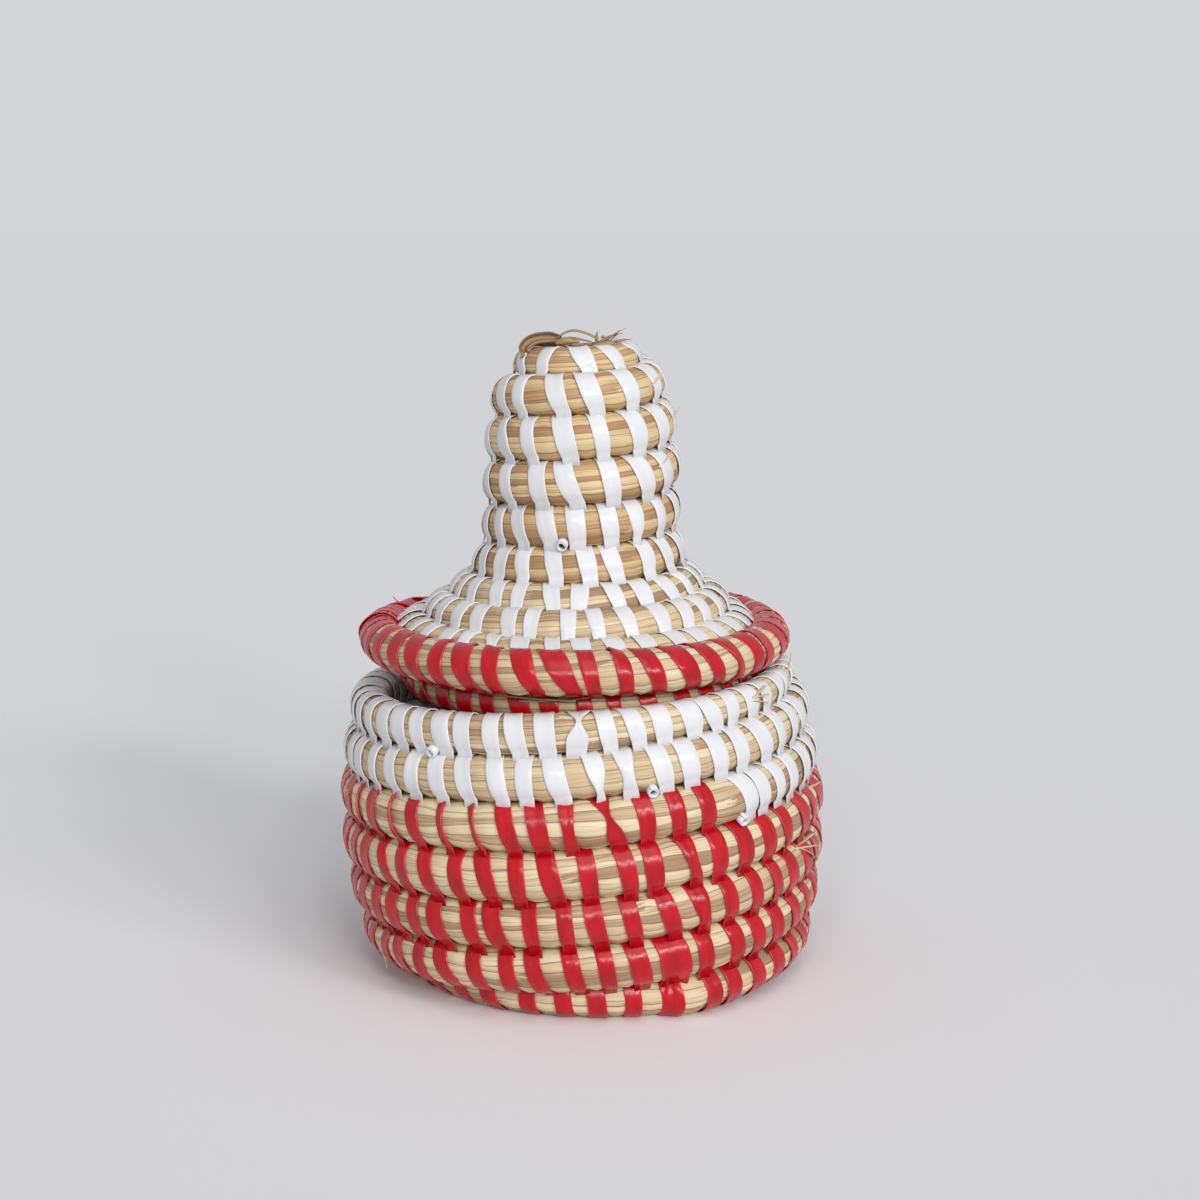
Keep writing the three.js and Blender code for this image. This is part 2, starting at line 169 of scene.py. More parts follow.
@dataclass(frozen=True)
class Coil:
    """The middle line of a wound bundle, one station per step, from its first turn to its last."""

    turns: Array
    angles: Array
    radii: Array
    heights: Array
    halves: Array
    start_angle: float
    end_angle: float

    @classmethod
    def wound(cls, profile: Profile, winding: Winding, lean: "Lean", start: float, end: float) -> "Coil":
        """Lays a bundle along a profile. Each station lies one turn further in than the station beneath it,
        at the place where the two sections just clear each other, found by halving the interval.

        Args:
            profile: the line that the middle of the bundle follows.
            winding: the bundle's widths and how it turns.
            lean: how the whole coil leans.
            start: the section angle that stands in for the missing turn before the outer end.
            end: the section angle that stands in for the missing turn after the inner end.

        Returns:
            The coil, from its outer end inwards.
        """
        steps = winding.steps

        def place(turns: Array, along: Array) -> tuple[Array, Array]:
            radius, height = profile.at(along)
            angle = np.radians(winding.first_angle + winding.turn_sign * FULL_TURN * turns)
            return lean.leant(radius, height, angle)

        def next_turn(turns: Array, low: Array) -> Array:
            radius, height = place(turns, low)
            near_half = winding.half(turns, low, profile.length)

            def apart(along: Array) -> Array:
                return near_half + winding.half(turns + 1.0, along, profile.length) + winding.turn_gap

            lower = np.array(low, float)
            upper = lower + 2.0 * apart(lower)
            for _ in range(winding.halvings):
                middle = 0.5 * (lower + upper)
                r, z = place(turns, middle)
                near = winding.spread(r - radius, z - height) < apart(middle)
                lower = np.where(near, middle, lower)
                upper = np.where(near, upper, middle)
            return upper

        first = next_turn(np.array([0.0]), np.array([0.0]))[0]
        along = first * np.arange(steps + 1) / steps
        while along[-1] < profile.length:
            turns = (np.arange(len(along) - steps, len(along))) / steps
            along = np.concatenate([along, next_turn(turns, along[-steps:])])
        along = along[along < profile.length]
        turns = np.arange(len(along)) / steps
        radii, heights = place(turns, along)
        halves = winding.half(turns, along, profile.length)
        angles = winding.first_angle + winding.turn_sign * FULL_TURN * turns
        return cls(turns, angles, radii, heights, halves, start, end)

    def reversed(self) -> "Coil":
        """The same coil, run from its other end."""
        return Coil(
            self.turns,
            self.angles[::-1],
            self.radii[::-1],
            self.heights[::-1],
            self.halves[::-1],
            self.end_angle,
            self.start_angle,
        )

    def raised(self, rise: float) -> "Coil":
        """The same coil, higher by rise."""
        return replace(self, heights=self.heights + rise)

    @property
    def last(self) -> float:
        """The turns run at the last station."""
        return float(self.turns[-1])

    def station(self, turn: Array) -> tuple[Array, Array, Array, Array]:
        """The azimuth in radians, the radius, the height and the half width at any place along the coil."""
        return (
            np.radians(self._between(self.angles, turn)),
            self._between(self.radii, turn),
            self._between(self.heights, turn),
            self._between(self.halves, turn),
        )

    def _between(self, values: Array, turn: Array) -> Array:
        """Values read between stations, run on straight past either end."""
        step = self.turns[1]
        low = np.clip(np.floor(turn / step).astype(int), 0, len(values) - 2)
        return mix(values[low], values[low + 1], turn / step - low)

    def next_angle(self, turn: Array) -> Array:
        """The section angle towards the turn after this one, or the stand-in where there is none."""
        return self._towards(turn, 1.0, self.end_angle)

    def previous_angle(self, turn: Array) -> Array:
        """The section angle towards the turn before this one, from -300 to 60, or the stand-in."""
        towards = self._towards(turn, -1.0, self.start_angle)
        return np.where(towards > 60.0, towards - FULL_TURN, towards)

    def _towards(self, turn: Array, way: float, missing: float) -> Array:
        """The section angle from a station to the one a turn away, from -180 to 180."""
        there = turn + way
        _, r0, z0, _ = self.station(turn)
        _, r1, z1, _ = self.station(there)
        angle = np.degrees(np.arctan2(z1 - z0, r1 - r0))
        return np.where((there < 0.0) | (there > self.last), missing, angle)

    def azimuth_turn(self, rows: int, azimuth: float) -> float:
        """The place on the coil at an azimuth, counted in rows back from the last station.

        Args:
            rows: how many whole turns further back than the nearest place at that azimuth.
            azimuth: the azimuth in degrees.

        Returns:
            The turns run there.
        """
        back = (self.angles[-1] - azimuth) % FULL_TURN / FULL_TURN
        return self.last - back - rows


@dataclass(frozen=True)
class Lean:
    """A lean to one side: each turn drifts with its height and tips, more and more up to a height."""

    degrees: float = 0.0
    middle_radius: float = 1.0
    middle_height: float = 0.0
    floor_height: float = 0.0
    rise: float = 1.0

    def leant(self, radius: Array, height: Array, angle: Array) -> tuple[Array, Array]:
        """Moves stations sideways by the drift and up by the tip, both times the cosine of the azimuth."""
        slope = math.tan(math.radians(self.degrees))
        towards = np.cos(angle)
        drift = slope * (height - self.middle_height) / self.middle_radius
        tip = slope * np.clip((height - self.floor_height) / self.rise, 0.0, 1.0)
        return radius * (1.0 - drift * towards), height + tip * radius * towards


@dataclass(frozen=True)
class Lashing:
    """How a plastic strip is wound: its pitch, width, slant over one row, and the lap on the row below."""

    pitch: float = 7.1
    width: float = 3.6
    slant: float = 2.4
    lap: float = 1.25
    unevenness: float = 0.1


@dataclass(frozen=True)
class Quirk:
    """One odd stitch: where it is, how far its width is pinched in, where on its face, and its twist. It may
    also be wider, slant or bend more than its neighbours, or stand a few thousandths of a turn further on.
    """

    turn: float
    pinch: float = 0.0
    at: float = 0.5
    twist: float = 0.0
    spread: float = 0.2
    wider: float = 1.0
    slant: float = 0.0
    bend: float = 0.0
    moved: float = 0.0


@dataclass
class Stitches:
    """The stitches of one bundle, as arrays with one value per stitch."""

    turns: Array
    widths: Array
    slants: Array
    laps: Array
    bends: Array
    pinches: Array
    pinch_places: Array
    pinch_spreads: Array
    twists: Array
    lifts: Array
    tilts: Array

    @classmethod
    def along(cls, coil: Coil, plan: list[tuple[float, Lashing]], seed: int, margin: float) -> "Stitches":
        """Spaces stitches along a coil: the pitch of each lashing holds up to the turn it is listed with.
        The number of stitches up to a place is the sum of length over pitch, and each whole number is one.

        Args:
            coil: the coil.
            plan: the last turn of each lashing, and the lashing, in order.
            seed: the seed of the unevenness.
            margin: the turns left free at both ends.

        Returns:
            The stitches.
        """
        rng = np.random.default_rng(seed)
        fine = np.linspace(margin, coil.last - margin, 6000)
        _, radii, _, halves = coil.station(fine)
        ends = np.array([turn for turn, _ in plan])
        lashings = [lashing for _, lashing in plan]
        which = np.minimum(np.searchsorted(ends, fine), len(plan) - 1)
        pitch = np.array([lashing.pitch for lashing in lashings])[which]
        length = 2.0 * np.pi * (radii + halves) * (fine[1] - fine[0])
        counted = np.cumsum(length / pitch)
        numbers = np.arange(0.5, counted[-1])
        uneven = lashings[0].unevenness
        numbers = numbers + uneven * rng.uniform(-1.0, 1.0, len(numbers))
        turns = np.interp(numbers, counted, fine)
        own = np.minimum(np.searchsorted(ends, turns), len(plan) - 1)
        size = len(turns)

        def of_each(name: str) -> Array:
            return np.array([getattr(lashing, name) for lashing in lashings])[own]

        folded = rng.random(size) < 0.09
        strayed = rng.random(size) < 0.16
        return cls(
            turns=turns,
            widths=of_each("width") * rng.uniform(0.88, 1.12, size),
            slants=of_each("slant") * rng.uniform(0.5, 1.4, size) + strayed * rng.uniform(-2.0, 2.6, size),
            laps=of_each("lap") * rng.uniform(0.85, 1.25, size),
            bends=rng.normal(0.0, 0.22, size),
            pinches=np.where(folded, rng.uniform(0.15, 0.5, size), 0.0),
            pinch_places=rng.uniform(0.2, 1.0, size),
            pinch_spreads=rng.uniform(0.14, 0.3, size),
            twists=np.where(folded, rng.uniform(-0.4, 0.4, size), 0.0),
            lifts=rng.uniform(0.3, 1.8, size),
            tilts=np.clip(rng.normal(0.0, 0.09, size), -0.18, 0.18),
        )

    def with_quirks(self, quirks: list[Quirk]) -> "Stitches":
        """Gives the stitch nearest to each quirk's place that quirk."""
        for quirk in quirks:
            nearest = int(np.argmin(np.abs(self.turns - quirk.turn)))
            self.pinches[nearest] = quirk.pinch
            self.pinch_places[nearest] = quirk.at
            self.pinch_spreads[nearest] = quirk.spread
            self.twists[nearest] = quirk.twist
            self.widths[nearest] *= quirk.wider
            self.slants[nearest] += quirk.slant
            self.bends[nearest] += quirk.bend
            self.turns[nearest] += quirk.moved
        return self


@dataclass(frozen=True)
class Skin:
    """A closed mesh in millimetres: points, faces, and a pattern place for each corner of each face."""

    points: Array
    quads: Array
    triangles: Array
    quad_places: Array
    triangle_places: Array

    @classmethod
    def tube(cls, grid: Array, places: Array) -> "Skin":
        """Closes a grid of points round its second axis, and caps each end with a fan to its middle.

        Args:
            grid: rows of points round a path, rows by sides by 3.
            places: pattern places, rows by sides + 1 by 2, so that the pattern needn't meet itself.

        Returns:
            The skin, with its faces outwards.
        """
        rows, sides, _ = grid.shape
        points = np.concatenate([grid.reshape(-1, 3), grid[0].mean(0)[None], grid[-1].mean(0)[None]])
        row, side = np.meshgrid(np.arange(rows - 1), np.arange(sides), indexing="ij")
        row, side = row.ravel(), side.ravel()
        after = (side + 1) % sides
        quads = np.stack(
            [row * sides + side, row * sides + after, (row + 1) * sides + after, (row + 1) * sides + side], 1
        )
        quad_places = np.stack(
            [places[row, side], places[row, side + 1], places[row + 1, side + 1], places[row + 1, side]], 1
        )
        edge = np.arange(sides)
        around = (edge + 1) % sides
        last = (rows - 1) * sides
        first_cap = np.stack([np.full(sides, rows * sides), around, edge], 1)
        last_cap = np.stack([np.full(sides, rows * sides + 1), last + edge, last + around], 1)
        triangles = np.concatenate([first_cap, last_cap])
        middle_first = 0.5 * (places[0, :-1] + places[0, 1:])
        middle_last = 0.5 * (places[-1, :-1] + places[-1, 1:])
        triangle_places = np.concatenate(
            [
                np.stack([middle_first, places[0, 1:], places[0, :-1]], 1),
                np.stack([middle_last, places[-1, :-1], places[-1, 1:]], 1),
            ]
        )
        skin = cls(points, quads, triangles, quad_places, triangle_places)
        return skin if skin.volume() > 0.0 else skin.turned()

    def volume(self) -> float:
        """Six times the enclosed volume: the sum of each triangle's triple product."""
        a, b, c, d = (self.points[self.quads[:, n]] for n in range(4))
        e, f, g = (self.points[self.triangles[:, n]] for n in range(3))
        total = 0.0
        for p, q, r in ((a, b, c), (a, c, d), (e, f, g)):
            total += float(np.einsum("ij,ij->", p, np.cross(q, r)))
        return total

    def turned(self) -> "Skin":
        """The same skin with every face the other way round."""
        return Skin(
            self.points,
            self.quads[:, ::-1],
            self.triangles[:, ::-1],
            self.quad_places[:, ::-1],
            self.triangle_places[:, ::-1],
        )

    @classmethod
    def joined(cls, skins: list["Skin"]) -> "Skin":
        """Several skins as one."""
        starts = np.cumsum([0] + [len(skin.points) for skin in skins[:-1]])
        return cls(
            np.concatenate([skin.points for skin in skins]),
            np.concatenate([skin.quads + start for skin, start in zip(skins, starts)]),
            np.concatenate([skin.triangles + start for skin, start in zip(skins, starts)]),
            np.concatenate([skin.quad_places for skin in skins]),
            np.concatenate([skin.triangle_places for skin in skins]),
        )

    def to_object(self, name: str, material: bpy.types.Material) -> bpy.types.Object:
        """Makes the mesh object, smooth, with its pattern places in a UV map."""
        mesh = bpy.data.meshes.new(name)
        mesh.from_pydata((self.points * MM).tolist(), [], self.quads.tolist() + self.triangles.tolist())
        places = np.concatenate([self.quad_places.reshape(-1, 2), self.triangle_places.reshape(-1, 2)])
        layer = mesh.uv_layers.new(name="strand")
        layer.data.foreach_set("uv", places.astype(np.float32).ravel())
        mesh.polygons.foreach_set("use_smooth", np.ones(len(mesh.polygons), bool))
        mesh.materials.append(material)
        mesh.update()
        piece = bpy.data.objects.new(name, mesh)
        bpy.context.scene.collection.objects.link(piece)
        return piece


def place_piece(piece: bpy.types.Object, body: Body, nodes: list[str]) -> None:
    """Hands a finished piece to the frame and reports it.

    Args:
        piece: the piece, in its place.
        body: the body it rides on.
        nodes: the CAD nodes that it stands for.
    """
    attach(piece, body.value)
    if nodes:
        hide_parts(*nodes)
    mesh = piece.data
    mesh.calc_loop_triangles()
    log.info("%s: %d triangles, in place of %s", piece.name, len(mesh.loop_triangles), nodes or "nothing")


@dataclass
class Bundle:
    """A wound grass bundle and the lashing on it."""

    coil: Coil
    stitches: Stitches
    axis: tuple[float, float]
    stem_count: int = 15
    stem_columns: int = 4
    twist: float = 0.0
    seed: int = 1
    snug: float = 0.64
    bare: float = 0.2
    squareness: float = 2.3
    row_step: float = 1.5
    groove: float = 0.34
    unevenness: float = 0.13
    bulge: float = 0.4
    sunk: float = 0.16
    swell_width: float = 1.2
    stitch_reach: int = 3
    strip_thickness: float = 0.34
    bridge_share: float = 0.68
    bridge_from: float = 0.85
    bite_angle: float = 0.6
    bitten: float = 0.35
    squeeze: float = 0.13
    edge_lift: float = 0.17
    strip_raise: float = 0.0
    grass_clearance: float = 0.05
    strip_clearance: float = 0.12

    def reach(self, turn: Array, angle: Array) -> Array:
        """The distance from the bundle's middle to its smooth surface at a section angle in radians.
        The section is a superellipse whose long axis points at the neighbouring turns.
        """
        _, _, _, half = self.coil.station(turn)
        above = self.coil.next_angle(turn)
        below = self.coil.previous_angle(turn)
        axis = np.radians(0.5 * (above + below + 180.0))
        has_below = smooth_step((turn - 0.6) / 0.4)
        has_above = smooth_step((self.coil.last - turn - 0.6) / 0.4)
        along = np.cos(angle - axis)
        across = np.sin(angle - axis)
        snug_here = np.where(along > 0.0, has_above, has_below)
        long = half + mix(self.bare, self.snug, snug_here)
        short = half + self.bare
        power = self.squareness
        return (np.abs(along / long) ** power + np.abs(across / short) ** power) ** (-1.0 / power)

    def points(self, turn: Array, angle: Array, distance: Array, lowest: Array | float = 0.0) -> Array:
        """Points at a distance from the bundle's middle in the direction of a section angle.

        Args:
            turn: the places along the coil.
            angle: the section angles in radians.
            distance: the distances from the bundle's middle.
            lowest: the heights that the points are pressed up to, as the base is by what it stands on.

        Returns:
            The points.
        """
        azimuth, radius, height, _ = self.coil.station(turn)
        out = radius + distance * np.cos(angle)
        return np.stack(
            [
                self.axis[0] + out * np.cos(azimuth),
                self.axis[1] + out * np.sin(azimuth),
                np.maximum(height + distance * np.sin(angle), lowest),
            ],
            -1,
        )

    def face(self, turn: Array, laps: Array) -> tuple[Array, Array, Array]:
        """Where the outer face of a stitch begins and ends.

        Args:
            turn: the place of the stitch.
            laps: how far it laps on the turn before.

        Returns:
            The section angle of its upper end, of its lower end, and of the turn before, in radians.
        """
        _, _, _, half = self.coil.station(turn)
        above = np.radians(self.coil.next_angle(turn))
        below = np.radians(self.coil.previous_angle(turn))
        depth = half + self.snug + laps * self._has_below(turn)
        return above, below + np.arctan2(self.bridge_share * half, depth), below

    def _has_below(self, turn: Array) -> Array:
        """1 where a strip bridges to the turn before, easing to 0 where there is none."""
        return smooth_step((turn - self.bridge_from) / 0.15)

    def opening(self, turn: Array, angle: Array) -> Array:
        """How open the grass lies at a place: 0 under a stitch, rising to 1 a little way beside it, and
        part of the way closed where a stitch of the next turn bites in.

        Args:
            turn: the places along the coil.
            angle: their section angles in radians, within a turn below the angle towards the next turn.

        Returns:
            The openness, from the clear distance to the nearest of the stitches around each place.
        """
        s = self.stitches
        above, lower, _ = self.face(turn, np.full(turn.shape, float(np.mean(s.laps))))
        down = np.clip((above - angle) / (above - lower), 0.0, 1.0)
        inner = np.clip((lower - angle) / (2.0 * np.pi - (above - lower)), 0.0, 1.0)
        _, radius, _, half = self.coil.station(turn)
        length = 2.0 * np.pi * (radius + half)
        nearest = np.searchsorted(s.turns, turn)
        clear = np.full(turn.shape, np.inf)
        for offset in range(-self.stitch_reach, self.stitch_reach):
            own = np.clip(nearest + offset, 0, len(s.turns) - 1)
            after = np.minimum(own + 1, len(s.turns) - 1)
            aside = s.slants[own] * (down - 0.5) + s.bends[own] * np.sin(np.pi * down)
            on_face = s.turns[own] + aside / length
            centre = mix(on_face, s.turns[after] - 0.5 * s.slants[after] / length, inner)
            pinch = s.pinches[own] * np.exp(-(((down - s.pinch_places[own]) / s.pinch_spreads[own]) ** 2))
            beside = np.abs(turn - centre) * length - 0.5 * s.widths[own] * (1.0 - pinch)
            clear = np.minimum(clear, beside)
        return np.minimum(smooth_step(clear / self.swell_width), self._unbitten(turn, above - angle, length))

    def _unbitten(self, turn: Array, below_top: Array, length: Array) -> Array:
        """How open the grass is left by the stitches of the next turn, which bite into its upper side.

        Args:
            turn: the places along the coil.
            below_top: their angles from the side that faces the next turn, from 0 to a whole turn.
            length: the length of one turn there.

        Returns:
            The openness.
        """
        s = self.stitches
        _, _, _, half = self.coil.station(turn)
        beyond = np.maximum(np.minimum(below_top, 2.0 * np.pi - below_top) - self.bite_angle, 0.0) * half
        nearest = np.searchsorted(s.turns, turn + 1.0)
        clear = np.full(turn.shape, np.inf)
        for offset in range(-2, 2):
            own = np.clip(nearest + offset, 0, len(s.turns) - 1)
            centre = s.turns[own] - 1.0 + 0.5 * s.slants[own] / length
            beside = np.maximum(np.abs(turn - centre) * length - 0.5 * s.widths[own], 0.0)
            clear = np.minimum(clear, np.hypot(beside, beyond))
        return mix(self.bitten, 1.0, smooth_step(clear / self.swell_width))

    def grass(self, name: str, material: bpy.types.Material, first: float, last: float) -> bpy.types.Object:
        """The bundle's skin from one turn to another. Its columns follow the edges and tops of the stems,
        which drift round the section, and its surface is the section plus each stem's own height, less a
        groove at each edge, pressed in under the stitches and swollen between them.

        Args:
            name: the piece's name.
            material: its finish.
            first: the turn it starts at.
            last: the turn it ends at.

        Returns:
            The piece.
        """
        rng = np.random.default_rng(self.seed)
        fine = np.linspace(0.0, self.coil.last, 8000)
        _, radii, _, _ = self.coil.station(fine)
        run = np.concatenate([[0.0], np.cumsum(2.0 * np.pi * radii[1:] * np.diff(fine))])
        begin, end = np.interp([first, last], fine, run)
        cap = np.array([0.0, 0.12, 0.35, 0.7, 1.1])
        count = max(int((end - begin - 2.0 * cap[-1]) / self.row_step), 2)
        middle = np.linspace(begin + cap[-1], end - cap[-1], count)
        along = np.concatenate([begin + cap[:-1], middle, (end - cap[:-1])[::-1]])
        inset = np.minimum(along - begin, end - along) / cap[-1]
        rounding = np.sqrt(np.clip(1.0 - (1.0 - np.clip(inset, 0.0, 1.0)) ** 2, 0.04, 1.0))
        turn = np.interp(along, run, fine)[:, None]

        columns = self.stem_columns * self.stem_count
        stem = np.arange(columns) / self.stem_columns
        around = 2.0 * np.pi * stem / self.stem_count
        whole = np.linspace(0.0, run[-1], 2000)
        angle = around[None, :] + math.radians(1.0) * self.twist * along[:, None]
        for waves, strength, spacing in ((2, 0.3, 90.0), (5, 0.34, 70.0), (9, 0.24, 48.0)):
            phase = np.pi * np.interp(along, whole, drifting_noise(rng, whole, spacing))
            angle = angle + strength / waves * np.sin(waves * around[None, :] + 2.0 * phase[:, None])

        spacing = 19.0
        heights = rng.uniform(-1.0, 1.0, (int(run[-1] / spacing) + 3, self.stem_count))
        depths = rng.uniform(0.0, 1.0, heights.shape) ** 1.6
        own = np.floor(stem).astype(int)[None, :]
        low = np.floor(along / spacing).astype(int)[:, None]
        share = smooth_step(along / spacing - np.floor(along / spacing))[:, None]
        proud = mix(heights[low, own], heights[low + 1, own], share)
        deep = mix(depths[low, own], depths[low + 1, own], share)
        edge = (np.arange(columns) % self.stem_columns == 0)[None, :]

        turns = np.broadcast_to(turn, angle.shape)
        opened = self.opening(turns, wrapped_below(angle, self.coil.next_angle(turns)))
        relief = np.where(edge, -self.groove * deep, self.unevenness * proud) * mix(0.45, 1.0, opened)
        swell = mix(-self.sunk, self.bulge - self.sunk, opened)
        distance = (self.reach(turns, angle) + relief + swell) * rounding[:, None]
        grid = self.points(turns, angle, distance, self.grass_clearance)
        counted = np.arange(columns + 1) / self.stem_columns
        places = np.stack(np.broadcast_arrays(counted[None, :], along[:, None]), -1)
        return Skin.tube(grid, places).to_object(name, material)

    def strip(self, name: str, material: bpy.types.Material, first: float, last: float) -> bpy.types.Object:
        """The lashing between two turns, as one strip wound round and round. Each loop runs down the outer
        face, bridges the groove to bite into the turn before, goes under and comes up the inner side to
        the next loop. Its distance is the section's, or the bridge's where that is greater.

        Args:
            name: the piece's name.
            material: its finish.
            first: the turn it starts at.
            last: the turn it ends at.

        Returns:
            The piece.
        """
        s = self.stitches
        chosen = np.flatnonzero((s.turns >= first) & (s.turns < last))
        turn = s.turns[chosen]
        after = np.minimum(chosen + 1, len(s.turns) - 1)
        step = np.where(after > chosen, s.turns[after] - turn, np.diff(s.turns).mean())
        next_slant = s.slants[after]
        above, lower, below = self.face(turn, s.laps[chosen])
        _, radius, _, half = self.coil.station(turn)
        around_length = 2.0 * np.pi * (radius + half)

        face_rows = np.array([0.0, 0.06, 0.13, 0.2, 0.28, 0.36, 0.44, 0.52, 0.6, 0.68, 0.76, 0.84, 0.92, 1.0])
        inner_rows = np.array([0.06, 0.2, 0.34, 0.48, 0.62, 0.76, 0.9])
        down = np.concatenate([face_rows, np.ones(1), np.ones(len(inner_rows))])[None, :]
        inner = np.concatenate([np.zeros(len(face_rows) + 1), inner_rows])[None, :]
        is_face = np.arange(down.shape[1])[None, :] < len(face_rows)
        corner = 2.0 * below[:, None] - lower[:, None]
        angle = np.where(
            is_face,
            mix(above[:, None], lower[:, None], down),
            mix(corner, above[:, None] - 2.0 * np.pi, inner),
        )
        angle[:, len(face_rows)] = below
        drop = s.slants[chosen][:, None] / around_length[:, None]
        bend = s.bends[chosen][:, None] / around_length[:, None]
        on_face = turn[:, None] + drop * (down - 0.5) + bend * np.sin(np.pi * down)
        target = (turn + step)[:, None] - 0.5 * next_slant[:, None] / around_length[:, None]
        centre = mix(on_face, target, inner)

        pinch_at = (down - s.pinch_places[chosen][:, None]) / s.pinch_spreads[chosen][:, None]
        pinch = s.pinches[chosen][:, None] * np.exp(-pinch_at**2) * (1.0 - smooth_step(inner / 0.3))
        drawn_in = smooth_step((down - 0.6) / 0.4) * (1.0 - smooth_step((inner - 0.4) / 0.5))
        width = s.widths[chosen][:, None] * (1.0 - pinch) * (1.0 - self.squeeze * drawn_in)
        tilt = s.tilts[chosen][:, None] * np.sin(np.pi * down)
        twist = s.twists[chosen][:, None] * np.exp(-pinch_at**2) + tilt

        across = np.array([-1.0, -1.0, -0.9, -0.3, 0.3, 0.9, 1.0, 1.0])
        outwards = np.array([0.0, 0.6, 0.95, 1.0, 1.0, 0.95, 0.6, 0.0])
        place = centre[..., None]
        lean = (s.slants[chosen] / (np.pi * half))[:, None] * np.sin(np.pi * down) * (inner == 0.0)
        offset = 0.5 * width[..., None] * across
        distance_mid = self._lashed(place, angle[..., None], s.laps[chosen][:, None, None])
        surface = np.maximum(radius[:, None] + distance_mid[..., 0] * np.cos(angle), 2.0)[..., None]
        spun = angle[..., None] + offset * lean[..., None] / np.maximum(distance_mid, 0.5)
        moved = place + offset / (2.0 * np.pi * surface)
        base = self._lashed(moved, spun, s.laps[chosen][:, None, None])
        lift = 1.0 + 1.6 * pinch[..., None]
        distance = base + self.strip_raise + self.strip_thickness * outwards * lift
        distance = distance + twist[..., None] * across
        distance = distance + self.edge_lift * s.lifts[chosen][:, None, None] * across**4
        lowest = self.strip_clearance * (1.0 - outwards)
        grid = self.points(moved, spun, distance, lowest).reshape(-1, len(across), 3)
        path = grid.mean(1)
        run = np.concatenate([[0.0], np.cumsum(np.linalg.norm(np.diff(path, axis=0), axis=1))])
        side = np.concatenate([across, across[:1]])
        places = np.stack(np.broadcast_arrays(side[None, :], run[:, None]), -1)
        return Skin.tube(grid, places).to_object(name, material)

    def rolled_end(self, end: "RolledEnd") -> Skin:
        """A strip's end, rolled up like a scroll that stands out of the groove below its row, between the
        two nearest stitches. Its wall runs round one and a third turns and widens as it goes.

        Args:
            end: where it is and how large.

        Returns:
            Its skin.
        """
        s = self.stitches
        after = int(np.clip(np.searchsorted(s.turns, end.turn), 1, len(s.turns) - 1))
        turn = np.array([mix(s.turns[after - 1], s.turns[after], end.between)])
        _, around, _, half = self.coil.station(turn)
        turn = turn + (end.down - 0.5) * s.slants[after] / (2.0 * np.pi * (around + half))
        above, lower, _ = self.face(turn, np.zeros(1))
        angle = mix(above, lower, end.down)
        middle = self.points(turn, angle, self.reach(turn, angle) - 0.2)[0]
        azimuth, _, _, _ = self.coil.station(turn)
        flat = np.array([np.cos(azimuth[0]), np.sin(azimuth[0]), 0.0])
        tip = angle[0] + np.radians(end.tip)
        out = np.cos(tip) * flat + np.array([0.0, 0.0, np.sin(tip)])
        side = np.array([-flat[1], flat[0], 0.0])
        up = np.cross(out, side)
        spin = np.linspace(0.0, 2.0 * np.pi * 1.35, 34)[:, None]
        radius = end.radius * mix(0.55, 1.0, spin / spin[-1])
        walls = radius + end.thickness * np.array([[0.0, 1.0, 1.0, 0.0]])
        rises = end.height * np.array([[0.0, 0.0, 1.0, 1.0]])
        grid = (
            middle
            + (walls * np.cos(spin))[..., None] * side
            + (walls * np.sin(spin))[..., None] * up
            + np.broadcast_to(rises, walls.shape)[..., None] * out
        )
        columns = np.array([-1.0, -1.0, 1.0, 1.0, -1.0])
        places = np.stack(np.broadcast_arrays(columns[None, :], spin * end.radius), -1)
        return Skin.tube(grid, places)

    def fibre(self, loose: "Fibre") -> Skin:
        """A thin stem that has come away, as a rod that thins towards its tip."""
        path = self.loose_path(loose)
        return thin_rod(path, loose.thickness * np.linspace(1.0, 0.4, len(path)))

    def loose_end(self, loose: "Fibre", width: float) -> Skin:
        """A strip's end that has come away, as a short ribbon of a given width."""
        path = self.loose_path(loose)
        return ribbon(path, np.full(len(path), width), 0.7, 2.0 * loose.thickness)

    def loose_path(self, loose: "Fibre") -> Array:
        """The line of something that leaves the surface along the bundle and curves outwards.

        Args:
            loose: where it starts, how long it is and how far it stands out.

        Returns:
            Its points.
        """
        share = np.linspace(0.0, 1.0, 12)
        _, radius, _, half = self.coil.station(np.array([loose.turn]))
        length = loose.length / (2.0 * np.pi * (radius + half))
        turn = loose.turn + length * share
        angle = np.radians(loose.angle + loose.climb * share)
        rise = loose.lift * share**2
        return self.points(turn, angle, self.reach(turn, angle) + self.bulge - 0.3 + rise)

    def brush(self, brush: "Brush") -> Skin:
        """The cut ends of the stems at an end of the bundle, which stand out of it unevenly.

        Args:
            brush: where they are, and how many and how long.

        Returns:
            Their skin.
        """
        rng = np.random.default_rng(brush.seed)
        share = np.linspace(0.0, 1.0, 5)
        _, radius, _, _ = self.coil.station(np.array([brush.turn]))
        skins = []
        for _ in range(brush.count):
            length = brush.length * rng.uniform(0.25, 1.0)
            angle = np.full(len(share), rng.uniform(0.0, 2.0 * np.pi))
            turn = brush.turn + brush.way * (length * share - brush.rooted) / (2.0 * np.pi * radius)
            within = self.reach(np.full(len(share), brush.turn), angle) * math.sqrt(rng.uniform(0.0, 0.75))
            path = self.points(turn, angle, within * (1.0 + brush.spread * rng.uniform(0.2, 1.0) * share))
            skins.append(thin_rod(path, np.full(len(share), rng.uniform(0.25, 0.5))))
        return Skin.joined(skins)

